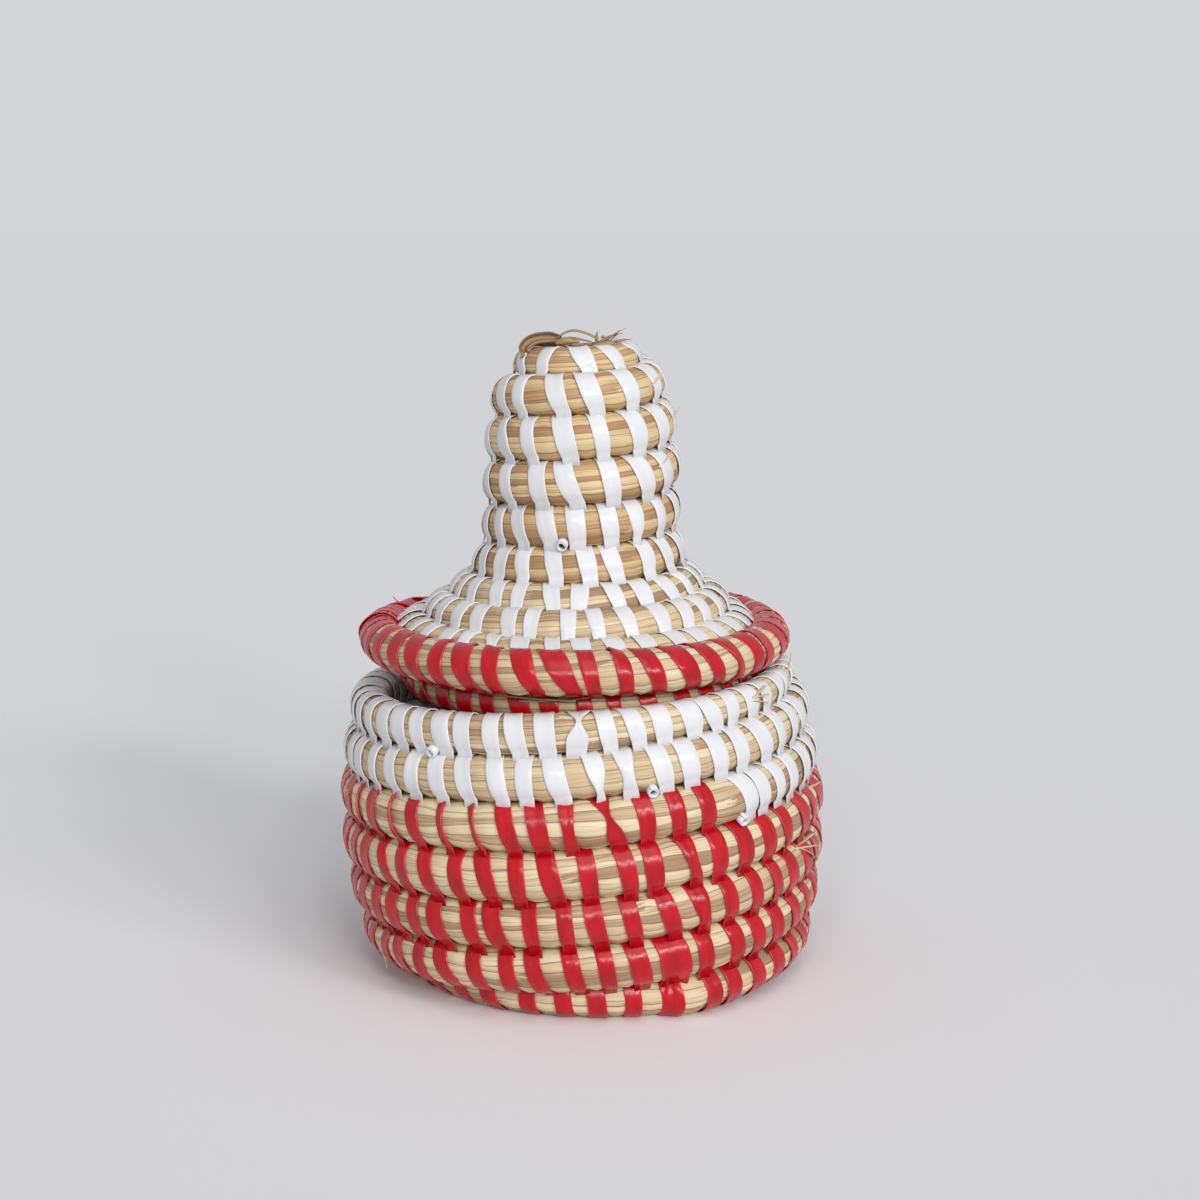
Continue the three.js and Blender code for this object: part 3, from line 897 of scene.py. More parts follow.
    def _lashed(self, turn: Array, angle: Array, laps: Array) -> Array:
        """The distance of a strip's inner side: the section, or a box towards the turn before whose half
        width is the bridge's and whose depth reaches past the groove by the lap.
        """
        _, _, _, half = self.coil.station(turn)
        below = np.radians(self.coil.previous_angle(turn))
        side = np.maximum(np.abs(np.sin(angle - below)), 1e-3)
        deep = np.maximum(np.abs(np.cos(angle - below)), 1e-3)
        facing = np.cos(angle - below) > 0.0
        box = np.minimum(self.bridge_share * half / side, (half + self.snug + laps) / deep)
        section = self.reach(turn, angle) - 0.04
        return np.where(facing, np.maximum(section, box * self._has_below(turn)), section)


@dataclass(frozen=True)
class RolledEnd:
    """A strip's rolled end: its place, where it lies between the stitches beside it, how far down the row's
    face, how far its axis tips, and its size.
    """

    turn: float
    between: float = 0.5
    down: float = 0.98
    tip: float = 30.0
    radius: float = 1.0
    height: float = 2.2
    thickness: float = 0.28


@dataclass(frozen=True)
class Fibre:
    """A loose stem: its start on the bundle, its length, climb round the section, lift and thickness."""

    turn: float
    angle: float
    length: float
    climb: float = 15.0
    lift: float = 1.5
    thickness: float = 0.24


@dataclass(frozen=True)
class Brush:
    """Cut stem ends: their place, the way they point, their number, length, depth of root and spread."""

    turn: float
    way: float
    count: int = 24
    length: float = 2.6
    rooted: float = 0.8
    spread: float = 0.25
    seed: int = 3


def thin_rod(path: Array, radii: Array, sides: int = 5) -> Skin:
    """A thin round rod along a path: circles square to the path, with the radius given at each point.

    Args:
        path: the points of its middle line.
        radii: its radius at each point.
        sides: the sides of each circle.

    Returns:
        Its skin.
    """
    along = np.gradient(path, axis=0)
    along /= np.linalg.norm(along, axis=1)[:, None]
    guide = np.where(np.abs(along[:, 2:]) > 0.9, np.array([[1.0, 0.0, 0.0]]), np.array([[0.0, 0.0, 1.0]]))
    side = np.cross(along, guide)
    side /= np.linalg.norm(side, axis=1)[:, None]
    up = np.cross(side, along)
    turn = 2.0 * np.pi * np.arange(sides) / sides
    ring = np.cos(turn)[None, :, None] * side[:, None, :] + np.sin(turn)[None, :, None] * up[:, None, :]
    grid = path[:, None, :] + radii[:, None, None] * ring
    run = np.concatenate([[0.0], np.cumsum(np.linalg.norm(np.diff(path, axis=0), axis=1))])
    places = np.stack(np.broadcast_arrays(np.linspace(0.1, 0.9, sides + 1)[None, :], run[:, None]), -1)
    return Skin.tube(grid, places)


def ribbon(path: Array, widths: Array, curl: float, thickness: float, roll: float = 0.0) -> Skin:
    """A ribbon swept along a path. Across, it is an arc that turns by the curl, in radians, on each side of
    its middle, and the roll turns that arc about the path: at 0 its hollow faces down.

    Args:
        path: the points of its middle line.
        widths: its width at each point, measured along the arc.
        curl: how far each half of it curls.
        thickness: its thickness as a share of half its width.
        roll: the roll in degrees.

    Returns:
        Its skin.
    """
    along = np.gradient(path, axis=0)
    along /= np.linalg.norm(along, axis=1)[:, None]
    level = np.cross(along, [0.0, 0.0, 1.0])
    level /= np.maximum(np.linalg.norm(level, axis=1), 1e-6)[:, None]
    upright = np.cross(level, along)
    spin = math.radians(roll)
    side = math.cos(spin) * level - math.sin(spin) * upright
    up = math.cos(spin) * upright + math.sin(spin) * level
    across = np.linspace(-1.0, 1.0, 8)
    bend = curl * across
    outer = np.stack([np.sin(bend), 1.0 - np.cos(bend)], 1) / curl
    inner = outer + thickness * np.stack([-np.sin(bend), np.cos(bend)], 1)
    loop = np.concatenate([outer, inner[::-1]])
    half = 0.5 * widths[:, None, None]
    spread = side[:, None, :] * loop[None, :, :1] - up[:, None, :] * loop[None, :, 1:]
    grid = path[:, None, :] + half * spread
    columns = np.concatenate([across, across[::-1], across[:1]]) + 1.0
    run = np.concatenate([[0.0], np.cumsum(np.linalg.norm(np.diff(path, axis=0), axis=1))])
    places = np.stack(np.broadcast_arrays(columns[None, :], run[:, None]), -1)
    return Skin.tube(grid, places)


def wrapped_below(angle: Array, top: Array) -> Array:
    """Section angles in radians, moved by whole turns to lie within a turn below a top angle in degrees."""
    high = np.radians(top)
    return high - np.mod(high - angle, 2.0 * np.pi)


class Shades:
    """Builds node trees: small helpers that add a node and join it to the last."""

    def __init__(self, tree: bpy.types.NodeTree) -> None:
        """Keeps the tree that nodes are added to."""
        self.tree = tree

    def node(self, kind: str, **values: object) -> bpy.types.Node:
        """Adds a node and sets its fields."""
        made = self.tree.nodes.new(kind)
        for key, value in values.items():
            setattr(made, key, value)
        return made

    def join(self, source: bpy.types.NodeSocket, target: bpy.types.NodeSocket) -> None:
        """Links one socket to another."""
        self.tree.links.new(source, target)

    def sum(self, operation: str, *terms: object) -> bpy.types.NodeSocket:
        """A Math node on sockets or numbers.

        Args:
            operation: the node's operation.
            terms: its inputs in order.

        Returns:
            Its result.
        """
        made = self.node("ShaderNodeMath", operation=operation)
        for socket, term in zip(made.inputs, terms):
            if isinstance(term, (int, float)):
                socket.default_value = term
            else:
                self.join(term, socket)
        return made.outputs[0]

    def vector(self, *terms: object) -> bpy.types.NodeSocket:
        """A vector put together from three sockets or numbers."""
        made = self.node("ShaderNodeCombineXYZ")
        for socket, term in zip(made.inputs, terms):
            if isinstance(term, (int, float)):
                socket.default_value = term
            else:
                self.join(term, socket)
        return made.outputs[0]

    def ramp(self, value: bpy.types.NodeSocket, low: float, high: float) -> bpy.types.NodeSocket:
        """A value eased from 0 to 1 between two bounds."""
        made = self.node("ShaderNodeMapRange", interpolation_type="SMOOTHSTEP")
        self.join(value, made.inputs["Value"])
        made.inputs["From Min"].default_value = low
        made.inputs["From Max"].default_value = high
        return made.outputs["Result"]

    def blend(self, share: object, first: object, second: object, mode: str = "MIX") -> bpy.types.NodeSocket:
        """A colour mixed from two sockets or colours.

        Args:
            share: a socket or number from 0 to 1.
            first: the colour at 0.
            second: the colour at 1.
            mode: the node's blend type.

        Returns:
            The colour.
        """
        made = self.node("ShaderNodeMix", data_type="RGBA", blend_type=mode)
        for number, term in ((0, share), (6, first), (7, second)):
            socket = made.inputs[number]
            if isinstance(term, (int, float)):
                socket.default_value = term
            elif isinstance(term, tuple):
                socket.default_value = (*term, 1.0)
            else:
                self.join(term, socket)
        return made.outputs[2]

    def strand(self) -> tuple[bpy.types.NodeSocket, bpy.types.NodeSocket]:
        """The two pattern places of a strand: across it and along it."""
        uv = self.node("ShaderNodeUVMap", uv_map="strand")
        parts = self.node("ShaderNodeSeparateXYZ")
        self.join(uv.outputs["UV"], parts.inputs[0])
        return parts.outputs[0], parts.outputs[1]

    def noise(
        self,
        strand: tuple[bpy.types.NodeSocket, bpy.types.NodeSocket],
        across: float,
        along: float,
        layer: float,
        detail: float = 2.0,
    ) -> bpy.types.NodeSocket:
        """A noise value over a strand.

        Args:
            strand: its two pattern places.
            across: the noise's scale across it.
            along: the noise's scale along it.
            layer: a number that gives each use a noise of its own.
            detail: the noise's detail.

        Returns:
            The value.
        """
        made = self.node("ShaderNodeTexNoise")
        place = self.vector(
            self.sum("MULTIPLY", strand[0], across), self.sum("MULTIPLY", strand[1], along), layer
        )
        self.join(place, made.inputs["Vector"])
        made.inputs["Scale"].default_value = 1.0
        made.inputs["Detail"].default_value = detail
        return made.outputs["Fac"]


def stem_group() -> bpy.types.NodeTree:
    """The shared pattern of grass stems, built once. The strand's first place counts stems and its second
    is the length in millimetres. Each stem is cut into lengths of its own tone.

    Returns:
        A group that puts out a tone, a mask of painted shade between and along stems, and a height.
    """
    existing = bpy.data.node_groups.get("stem_pattern")
    if existing:
        return existing
    group = bpy.data.node_groups.new("stem_pattern", "ShaderNodeTree")
    for name, default in (("Length", 34.0), ("Edge", 0.15), ("Gate", 0.4)):
        socket = group.interface.new_socket(name, in_out="INPUT", socket_type="NodeSocketFloat")
        socket.default_value = default
    for name in ("Tone", "Gap Shade Mask", "Height"):
        group.interface.new_socket(name, in_out="OUTPUT", socket_type="NodeSocketFloat")
    n = Shades(group)
    given = n.node("NodeGroupInput")
    out = n.node("NodeGroupOutput")
    across, along = n.strand()
    stem = n.sum("FLOOR", across)
    within = n.sum("FRACT", across)
    shift = n.node("ShaderNodeTexWhiteNoise", noise_dimensions="1D")
    n.join(stem, shift.inputs["W"])
    share = n.sum("DIVIDE", along, given.outputs["Length"])
    ragged = n.noise((across, along), 6.0, 0.3, 2.0, 1.0)
    share = n.sum("MULTIPLY_ADD", ragged, 0.14, share)
    cell = n.sum("FLOOR", n.sum("MULTIPLY_ADD", shift.outputs["Value"], 13.0, share))
    border_number = n.sum("FLOOR", n.sum("ADD", across, 0.5))
    gate = n.noise((border_number, along), 3.7, 0.035, 4.0, 1.0)
    tone = n.node("ShaderNodeTexWhiteNoise", noise_dimensions="2D")
    n.join(n.vector(stem, cell, 0.0), tone.inputs["Vector"])
    streak = n.noise((across, along), 6.5, 0.05, 3.0, 4.0)
    fibre = n.noise((across, along), 11.0, 0.06, 5.0)
    slow = n.noise((across, along), 0.45, 0.02, 9.0)
    mixed = n.sum("MULTIPLY_ADD", n.sum("SUBTRACT", streak, 0.5), 1.1, tone.outputs["Value"])
    mixed = n.sum("MULTIPLY_ADD", n.sum("SUBTRACT", slow, 0.5), 0.8, mixed)
    n.join(mixed, out.inputs["Tone"])
    from_middle = n.sum("ABSOLUTE", n.sum("SUBTRACT", within, 0.5))
    # Painted shade: dark lines in the gaps at the stems' borders, shown in some places, and along splits in
    # the stems.
    border = n.sum("SUBTRACT", 0.5, from_middle)
    wide = n.sum("MULTIPLY", given.outputs["Edge"], n.sum("MULTIPLY_ADD", slow, 1.6, -0.3))
    wide = n.sum("MAXIMUM", wide, 0.02)
    edge = n.sum("SUBTRACT", 1.0, n.sum("MINIMUM", n.sum("DIVIDE", border, wide), 1.0))
    shown = n.ramp(n.sum("SUBTRACT", gate, given.outputs["Gate"]), 0.0, 0.2)
    edge = n.sum("MULTIPLY", edge, n.sum("MULTIPLY_ADD", shown, 0.85, 0.15))
    split = n.sum("MULTIPLY", n.ramp(fibre, 0.59, 0.67), 0.72)
    n.join(n.sum("MAXIMUM", edge, split), out.inputs["Gap Shade Mask"])
    dome = n.sum("SUBTRACT", 1.0, n.sum("POWER", n.sum("MULTIPLY", from_middle, 2.0), 3.0))
    height = n.sum("MULTIPLY_ADD", streak, 0.35, n.sum("MULTIPLY", dome, 0.6))
    n.join(height, out.inputs["Height"])
    return group


@dataclass(frozen=True)
class GrassFinish:
    """Dry stems: pale straw to brown, with painted shade between stems, silky along them."""

    name: str
    pale: Colour = (0.73, 0.6, 0.39)
    middle: Colour = (0.59, 0.435, 0.25)
    brown: Colour = (0.36, 0.22, 0.125)
    # The gap shade is a painted shade in the gaps between stems and along splits in them.
    gap_shade: Colour = (0.13, 0.065, 0.03)
    length: float = 80.0
    gate: float = 0.28

    def material(self) -> bpy.types.Material:
        """Builds the material from the stem pattern."""
        made = bpy.data.materials.new(self.name)
        made.use_nodes = True
        made.node_tree.nodes.clear()
        n = Shades(made.node_tree)
        pattern = n.node("ShaderNodeGroup", node_tree=stem_group())
        pattern.inputs["Length"].default_value = self.length
        pattern.inputs["Gate"].default_value = self.gate
        tone = pattern.outputs["Tone"]
        colour = n.blend(n.ramp(tone, 0.05, 0.4), self.brown, self.middle)
        colour = n.blend(n.ramp(tone, 0.35, 0.9), colour, self.pale)
        # Painted shade: the gap colour laid over the gaps between stems and along splits.
        colour = n.blend(n.sum("MULTIPLY", pattern.outputs["Gap Shade Mask"], 0.85), colour, self.gap_shade)
        bump = n.node("ShaderNodeBump")
        bump.inputs["Strength"].default_value = 0.6
        bump.inputs["Distance"].default_value = 0.0002
        n.join(pattern.outputs["Height"], bump.inputs["Height"])
        shader = n.node("ShaderNodeBsdfPrincipled")
        n.join(colour, shader.inputs["Base Color"])
        n.join(n.sum("MULTIPLY_ADD", tone, -0.15, 0.62), shader.inputs["Roughness"])
        n.join(bump.outputs["Normal"], shader.inputs["Normal"])
        output = n.node("ShaderNodeOutputMaterial")
        n.join(shader.outputs["BSDF"], output.inputs["Surface"])
        return made


@dataclass(frozen=True)
class StripFinish:
    """Glossy plastic strip with creases along it, crease lines, and a painted highlight at its edges."""

    name: str
    body: Colour
    shade: Colour
    # The edge colour is a painted highlight laid along both edges of the strip.
    edge: Colour
    # The colour of thin lines along the creases; on the white strip it is a painted shade in the creases.
    crease: Colour
    creasing: float = 0.45
    relief: float = 0.14
    roughness: float = 0.22
    specular: float = 0.4

    def material(self) -> bpy.types.Material:
        """Builds the material: the strand's first place runs across the strip from -1 to 1."""
        made = bpy.data.materials.new(self.name)
        made.use_nodes = True
        made.node_tree.nodes.clear()
        n = Shades(made.node_tree)
        across, along = n.strand()
        crease = n.noise((across, along), 1.7, 0.05, 1.0)
        patch = n.noise((across, along), 0.8, 0.16, 7.0)
        colour = n.blend(n.ramp(patch, 0.3, 0.7), self.shade, self.body)
        # Painted highlight: the edge colour mixed in along both edges of the strip.
        edge_highlight = n.ramp(n.sum("ABSOLUTE", across), 0.86, 1.0)
        colour = n.blend(n.sum("MULTIPLY", edge_highlight, 0.6), colour, self.edge)
        # Thin lines along the creases in the crease colour: on the white strip a painted shade in the
        # creases.
        line = n.ramp(n.sum("ABSOLUTE", n.sum("SUBTRACT", crease, 0.5)), 0.025, 0.0)
        line = n.sum("MULTIPLY", line, n.ramp(patch, 0.45, 0.6))
        colour = n.blend(n.sum("MULTIPLY", line, self.creasing), colour, self.crease)
        bump = n.node("ShaderNodeBump")
        bump.inputs["Strength"].default_value = self.relief
        bump.inputs["Distance"].default_value = 0.0003
        n.join(crease, bump.inputs["Height"])
        shader = n.node("ShaderNodeBsdfPrincipled")
        n.join(colour, shader.inputs["Base Color"])
        n.join(n.sum("MULTIPLY_ADD", crease, 0.25, self.roughness - 0.1), shader.inputs["Roughness"])
        shader.inputs["Specular IOR Level"].default_value = self.specular
        n.join(bump.outputs["Normal"], shader.inputs["Normal"])
        output = n.node("ShaderNodeOutputMaterial")
        n.join(shader.outputs["BSDF"], output.inputs["Surface"])
        return made


@dataclass
class Finishes:
    """The four finishes of the basket, each built once."""

    grass: bpy.types.Material = field(default_factory=lambda: GrassFinish("bundle_grass").material())
    knob_grass: bpy.types.Material = field(
        default_factory=lambda: GrassFinish(
            "knob_grass",
            pale=(0.7, 0.52, 0.28),
            middle=(0.54, 0.34, 0.16),
            brown=(0.37, 0.2, 0.1),
            length=34.0,
            gate=0.3,
        ).material()
    )
    tuft: bpy.types.Material = field(
        default_factory=lambda: GrassFinish(
            "tuft_grass", pale=(0.5, 0.33, 0.17), middle=(0.33, 0.2, 0.1), brown=(0.17, 0.09, 0.045)
        ).material()
    )
    red: bpy.types.Material = field(
        default_factory=lambda: StripFinish(
            "red_strip",
            body=(0.53, 0.001, 0.008),
            shade=(0.38, 0.001, 0.006),
            # The edge colour is a painted highlight along the strip's edges.
            edge=(0.66, 0.045, 0.075),
            crease=(0.53, 0.012, 0.03),
            roughness=0.22,
            specular=0.44,
        ).material()
    )
    white: bpy.types.Material = field(
        default_factory=lambda: StripFinish(
            "white_strip",
            body=(0.745, 0.75, 0.77),
            shade=(0.7, 0.705, 0.724),
            # The edge colour is a painted highlight along the strip's edges.
            edge=(0.78, 0.78, 0.785),
            # The crease colour is a painted shade in the strip's creases.
            crease=(0.6, 0.59, 0.61),
            creasing=0.22,
            relief=0.1,
            specular=0.3,
        ).material()
    )


def basket_axis() -> tuple[float, float]:
    """The basket's axis in millimetres: the middle of the ring under the brim."""
    low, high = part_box("mouth_ring_grass")
    return (500.0 * (low.x + high.x), 500.0 * (low.y + high.y))


@dataclass
class Pot:
    """The pot: a bowed wall over a flat base, red below and white above."""

    belly_radius: float = 47.4
    belly_height: float = 36.0
    bow_radius: float = 105.0
    rim_height: float = 64.4
    rim_width: float = 7.1
    belly_width: float = 9.0
    foot_width: float = 8.6
    start_width: float = 3.6
    base_share: float = 0.88
    strip_room: float = 0.5
    turn_gap: float = 1.318
    lean_angle: float = 2.9
    lean_rise: float = 28.0
    rim_end_angle: float = 80.0
    rim_end_share: float = 0.3
    rim_taper_turns: float = 0.5
    white_turns: float = 2.37
    heart_radius: float = 4.4
    heart_shift: tuple[float, float] = (0.8, 0.6)
    heart_bands: tuple[float, ...] = (10.0, 72.0, 130.0)
    heart_band_width: float = 3.1

    def coil(self) -> Coil:
        """Lays the bundle down the bowed wall and in over the base, then runs it from the middle out."""
        floor = 0.5 * self.foot_width + self.strip_room
        centre = self.belly_radius - self.bow_radius
        top = math.asin((self.rim_height - self.belly_height) / self.bow_radius)
        foot = math.asin((floor - self.belly_height) / self.bow_radius)
        sweep = np.linspace(top, foot, 900)
        inner = 0.5 * (self.start_width + self.turn_gap)
        profile = Profile.through(
            np.append(centre + self.bow_radius * np.cos(sweep), inner),
            np.append(self.belly_height + self.bow_radius * np.sin(sweep), floor),
        )
        wall_share = self.bow_radius * (top - foot) / profile.length
        winding = Winding(
            widths=(self.rim_width, self.belly_width, self.foot_width, self.foot_width, self.start_width),
            width_shares=(0.0, 0.5 * wall_share, wall_share, self.base_share, 1.0),
            first_angle=self.rim_end_angle,
            turn_sign=-1,
            end_share=self.rim_end_share,
            taper_turns=self.rim_taper_turns,
            turn_gap=self.turn_gap,
        )
        lean = Lean(self.lean_angle, self.belly_radius, self.belly_height, floor, self.lean_rise)
        return Coil.wound(profile, winding, lean, start=90.0, end=-180.0).reversed()

    def build(self, finishes: Finishes) -> None:
        """Makes the pot's grass and strips.

        Args:
            finishes: the basket's finishes.
        """
        coil = self.coil()
        floor = 0.5 * self.foot_width + self.strip_room
        wall_from = float(coil.turns[np.argmax(coil.heights > floor + 0.3)])
        white_from = coil.last - self.white_turns
        rim_from = coil.last - 0.9
        stitches = Stitches.along(
            coil,
            [
                (wall_from, Lashing(pitch=7.6, slant=2.4, lap=0.9)),
                (white_from, Lashing(pitch=7.0, width=3.5, slant=3.3)),
                (rim_from, Lashing(pitch=6.7, width=3.7, slant=2.6)),
                (coil.last + 1.0, Lashing(pitch=5.9, width=3.8, slant=2.4)),
            ],
            seed=11,
            margin=0.004,
        ).with_quirks(
            [
                Quirk(coil.azimuth_turn(0, 267.6), 0.8, 0.35, 0.2, 0.2, 1.15),
                Quirk(coil.azimuth_turn(1, 270.0), 0.6, 0.82, -0.3, 0.22),
                Quirk(coil.azimuth_turn(2, 275.0), 0.75, 0.45, 0.4, 0.22, 1.1),
                Quirk(coil.azimuth_turn(2, 208.0), 0.5, 0.4, 0.5, 0.6),
                Quirk(coil.azimuth_turn(2, 222.0), 0.55, 0.4, 0.5, 0.6),
                Quirk(coil.azimuth_turn(2, 236.0), 0.5, 0.5, 0.4, 0.6),
                Quirk(coil.azimuth_turn(2, 246.0), 0.6, 0.5, 0.5, 0.6),
                Quirk(coil.azimuth_turn(5, 294.0), wider=1.9),
                Quirk(coil.azimuth_turn(2, 307.5), slant=2.4, bend=0.9, moved=0.0085),
                Quirk(coil.azimuth_turn(2, 315.0), slant=2.0, bend=0.8, moved=0.0045),
                Quirk(coil.azimuth_turn(2, 322.8), slant=1.6, bend=0.6, moved=0.0015),
            ]
        )
        bundle = Bundle(coil, stitches, basket_axis(), stem_count=15, twist=0.25, seed=5)
        piece = bundle.grass("pot_grass", finishes.grass, 0.0, coil.last)
        place_piece(piece, Body.POT, ["pot_grass_coil"])
        log.info("the wall starts at turn %.2f of %.2f", wall_from, coil.last)
        heart, bands = self._heart(floor)
        place_piece(heart.to_object("base_heart", finishes.grass), Body.POT, ["pot_grass_coil"])
        piece = bands.to_object("base_heart_bands", finishes.red)
        place_piece(piece, Body.POT, ["base_red_strip_1"])
        parts = (
            ("base_lashing", finishes.red, 0.0, wall_from, Slot.RED, ["base_red_strip_1"]),
            (
                "wall_red_lashing",
                finishes.red,
                wall_from,
                white_from,
                Slot.RED,
                ["wall_red_strip_1", "wall_red_strip_2", "wall_red_strip_3"],
            ),
            (
                "wall_white_lashing",
                finishes.white,
                white_from,
                coil.last,
                Slot.WHITE,
                ["wall_white_strip_1", "wall_white_strip_2"],
            ),
        )
        for name, material, first, last, slot, nodes in parts:
            place_piece(bundle.strip(name, material, first, last), Body.POT, nodes)
        white_ends = [
            RolledEnd(coil.azimuth_turn(0, 229.0)),
            RolledEnd(coil.azimuth_turn(1, 281.0), radius=1.05),
            RolledEnd(coil.azimuth_turn(2, 306.0), between=0.7, radius=1.1),
        ]
        rolled = Skin.joined([bundle.rolled_end(end) for end in white_ends])
        piece = rolled.to_object("wall_white_rolled_ends", finishes.white)
        place_piece(piece, Body.POT, ["wall_white_strip_1", "wall_white_strip_2"])
        fibres = [
            Fibre(coil.azimuth_turn(2, 196.0), 10.0, 7.0, 20.0, 2.6),
            Fibre(coil.azimuth_turn(5, 205.0), -20.0, 6.0, -15.0, 2.0),
            Fibre(coil.azimuth_turn(0, 345.0), 30.0, 6.0, 30.0, 2.2),
            Fibre(coil.azimuth_turn(4, 332.0), 50.0, 8.0, -26.0, 1.0, 0.34),
            Fibre(coil.azimuth_turn(3, 344.0), 50.0, 3.5, -10.0, 1.2, 0.3),
            Fibre(coil.azimuth_turn(1, 120.0), 20.0, 8.0, 10.0, 2.0),
            Fibre(coil.azimuth_turn(4, 60.0), 0.0, 7.0, 20.0, 1.8),
            Fibre(coil.azimuth_turn(3, 150.0), 20.0, 6.0, 20.0, 1.6),
        ]
        split_stems = [
            (Fibre(coil.azimuth_turn(0, 319.0), 26.0, 4.2, 14.0, 1.2, 0.1), 1.1),
            (Fibre(coil.azimuth_turn(0, 319.5), 20.0, 3.4, -4.0, 1.7, 0.1), 0.9),
            (Fibre(coil.azimuth_turn(0, 319.0), 12.0, 4.0, -20.0, 1.1, 0.1), 1.0),
            (Fibre(coil.azimuth_turn(4, 333.0), 58.0, 9.0, -10.0, 0.9, 0.12), 1.3),
            (Fibre(coil.azimuth_turn(4, 333.0), 54.0, 6.5, -55.0, 0.7, 0.12), 1.4),
        ]
        skins = [bundle.fibre(loose) for loose in fibres]
        skins += [bundle.loose_end(loose, width) for loose, width in split_stems]
        piece = Skin.joined(skins).to_object("pot_fibres", finishes.grass)
        place_piece(piece, Body.POT, ["pot_grass_coil"])

    def _heart(self, floor: float) -> tuple[Skin, Skin]:
        """The knot that the spiral starts from and that closes the middle of the base: a flat ball of grass,
        whose radius is the sphere's at each height, and bands of strip over and under it.

        Args:
            floor: the height of the bundle's middle on the base.

        Returns:
            The ball and its bands.
        """
        half = 0.5 * self.start_width
        x, y = basket_axis()
        middle = np.array([x + self.heart_shift[0], y + self.heart_shift[1], floor])
        up = np.array([0.0, 0.0, 1.0])
        sink = np.linspace(-0.99, 0.99, 15)
        path = middle + half * sink[:, None] * up
        ball = thin_rod(path, self.heart_radius * np.sqrt(1.0 - sink**2), 28)
        sweep = np.radians(np.linspace(12.0, 168.0, 22))
        bands = []
        for number, azimuth in enumerate(np.radians(self.heart_bands)):
            along = np.array([np.cos(azimuth), np.sin(azimuth), 0.0])
            out = (self.heart_radius + 0.6) * np.cos(sweep)[:, None] * along
            for side, roll in ((1.0, 0.0), (-1.0, 180.0)):
                rise = side * (half + 0.15 + 0.22 * number) * np.sin(sweep)[:, None]
                widths = np.full(len(sweep), self.heart_band_width)
                bands.append(ribbon(middle + out + rise * up, widths, 0.45, 0.2, roll))
        return ball, Skin.joined(bands)


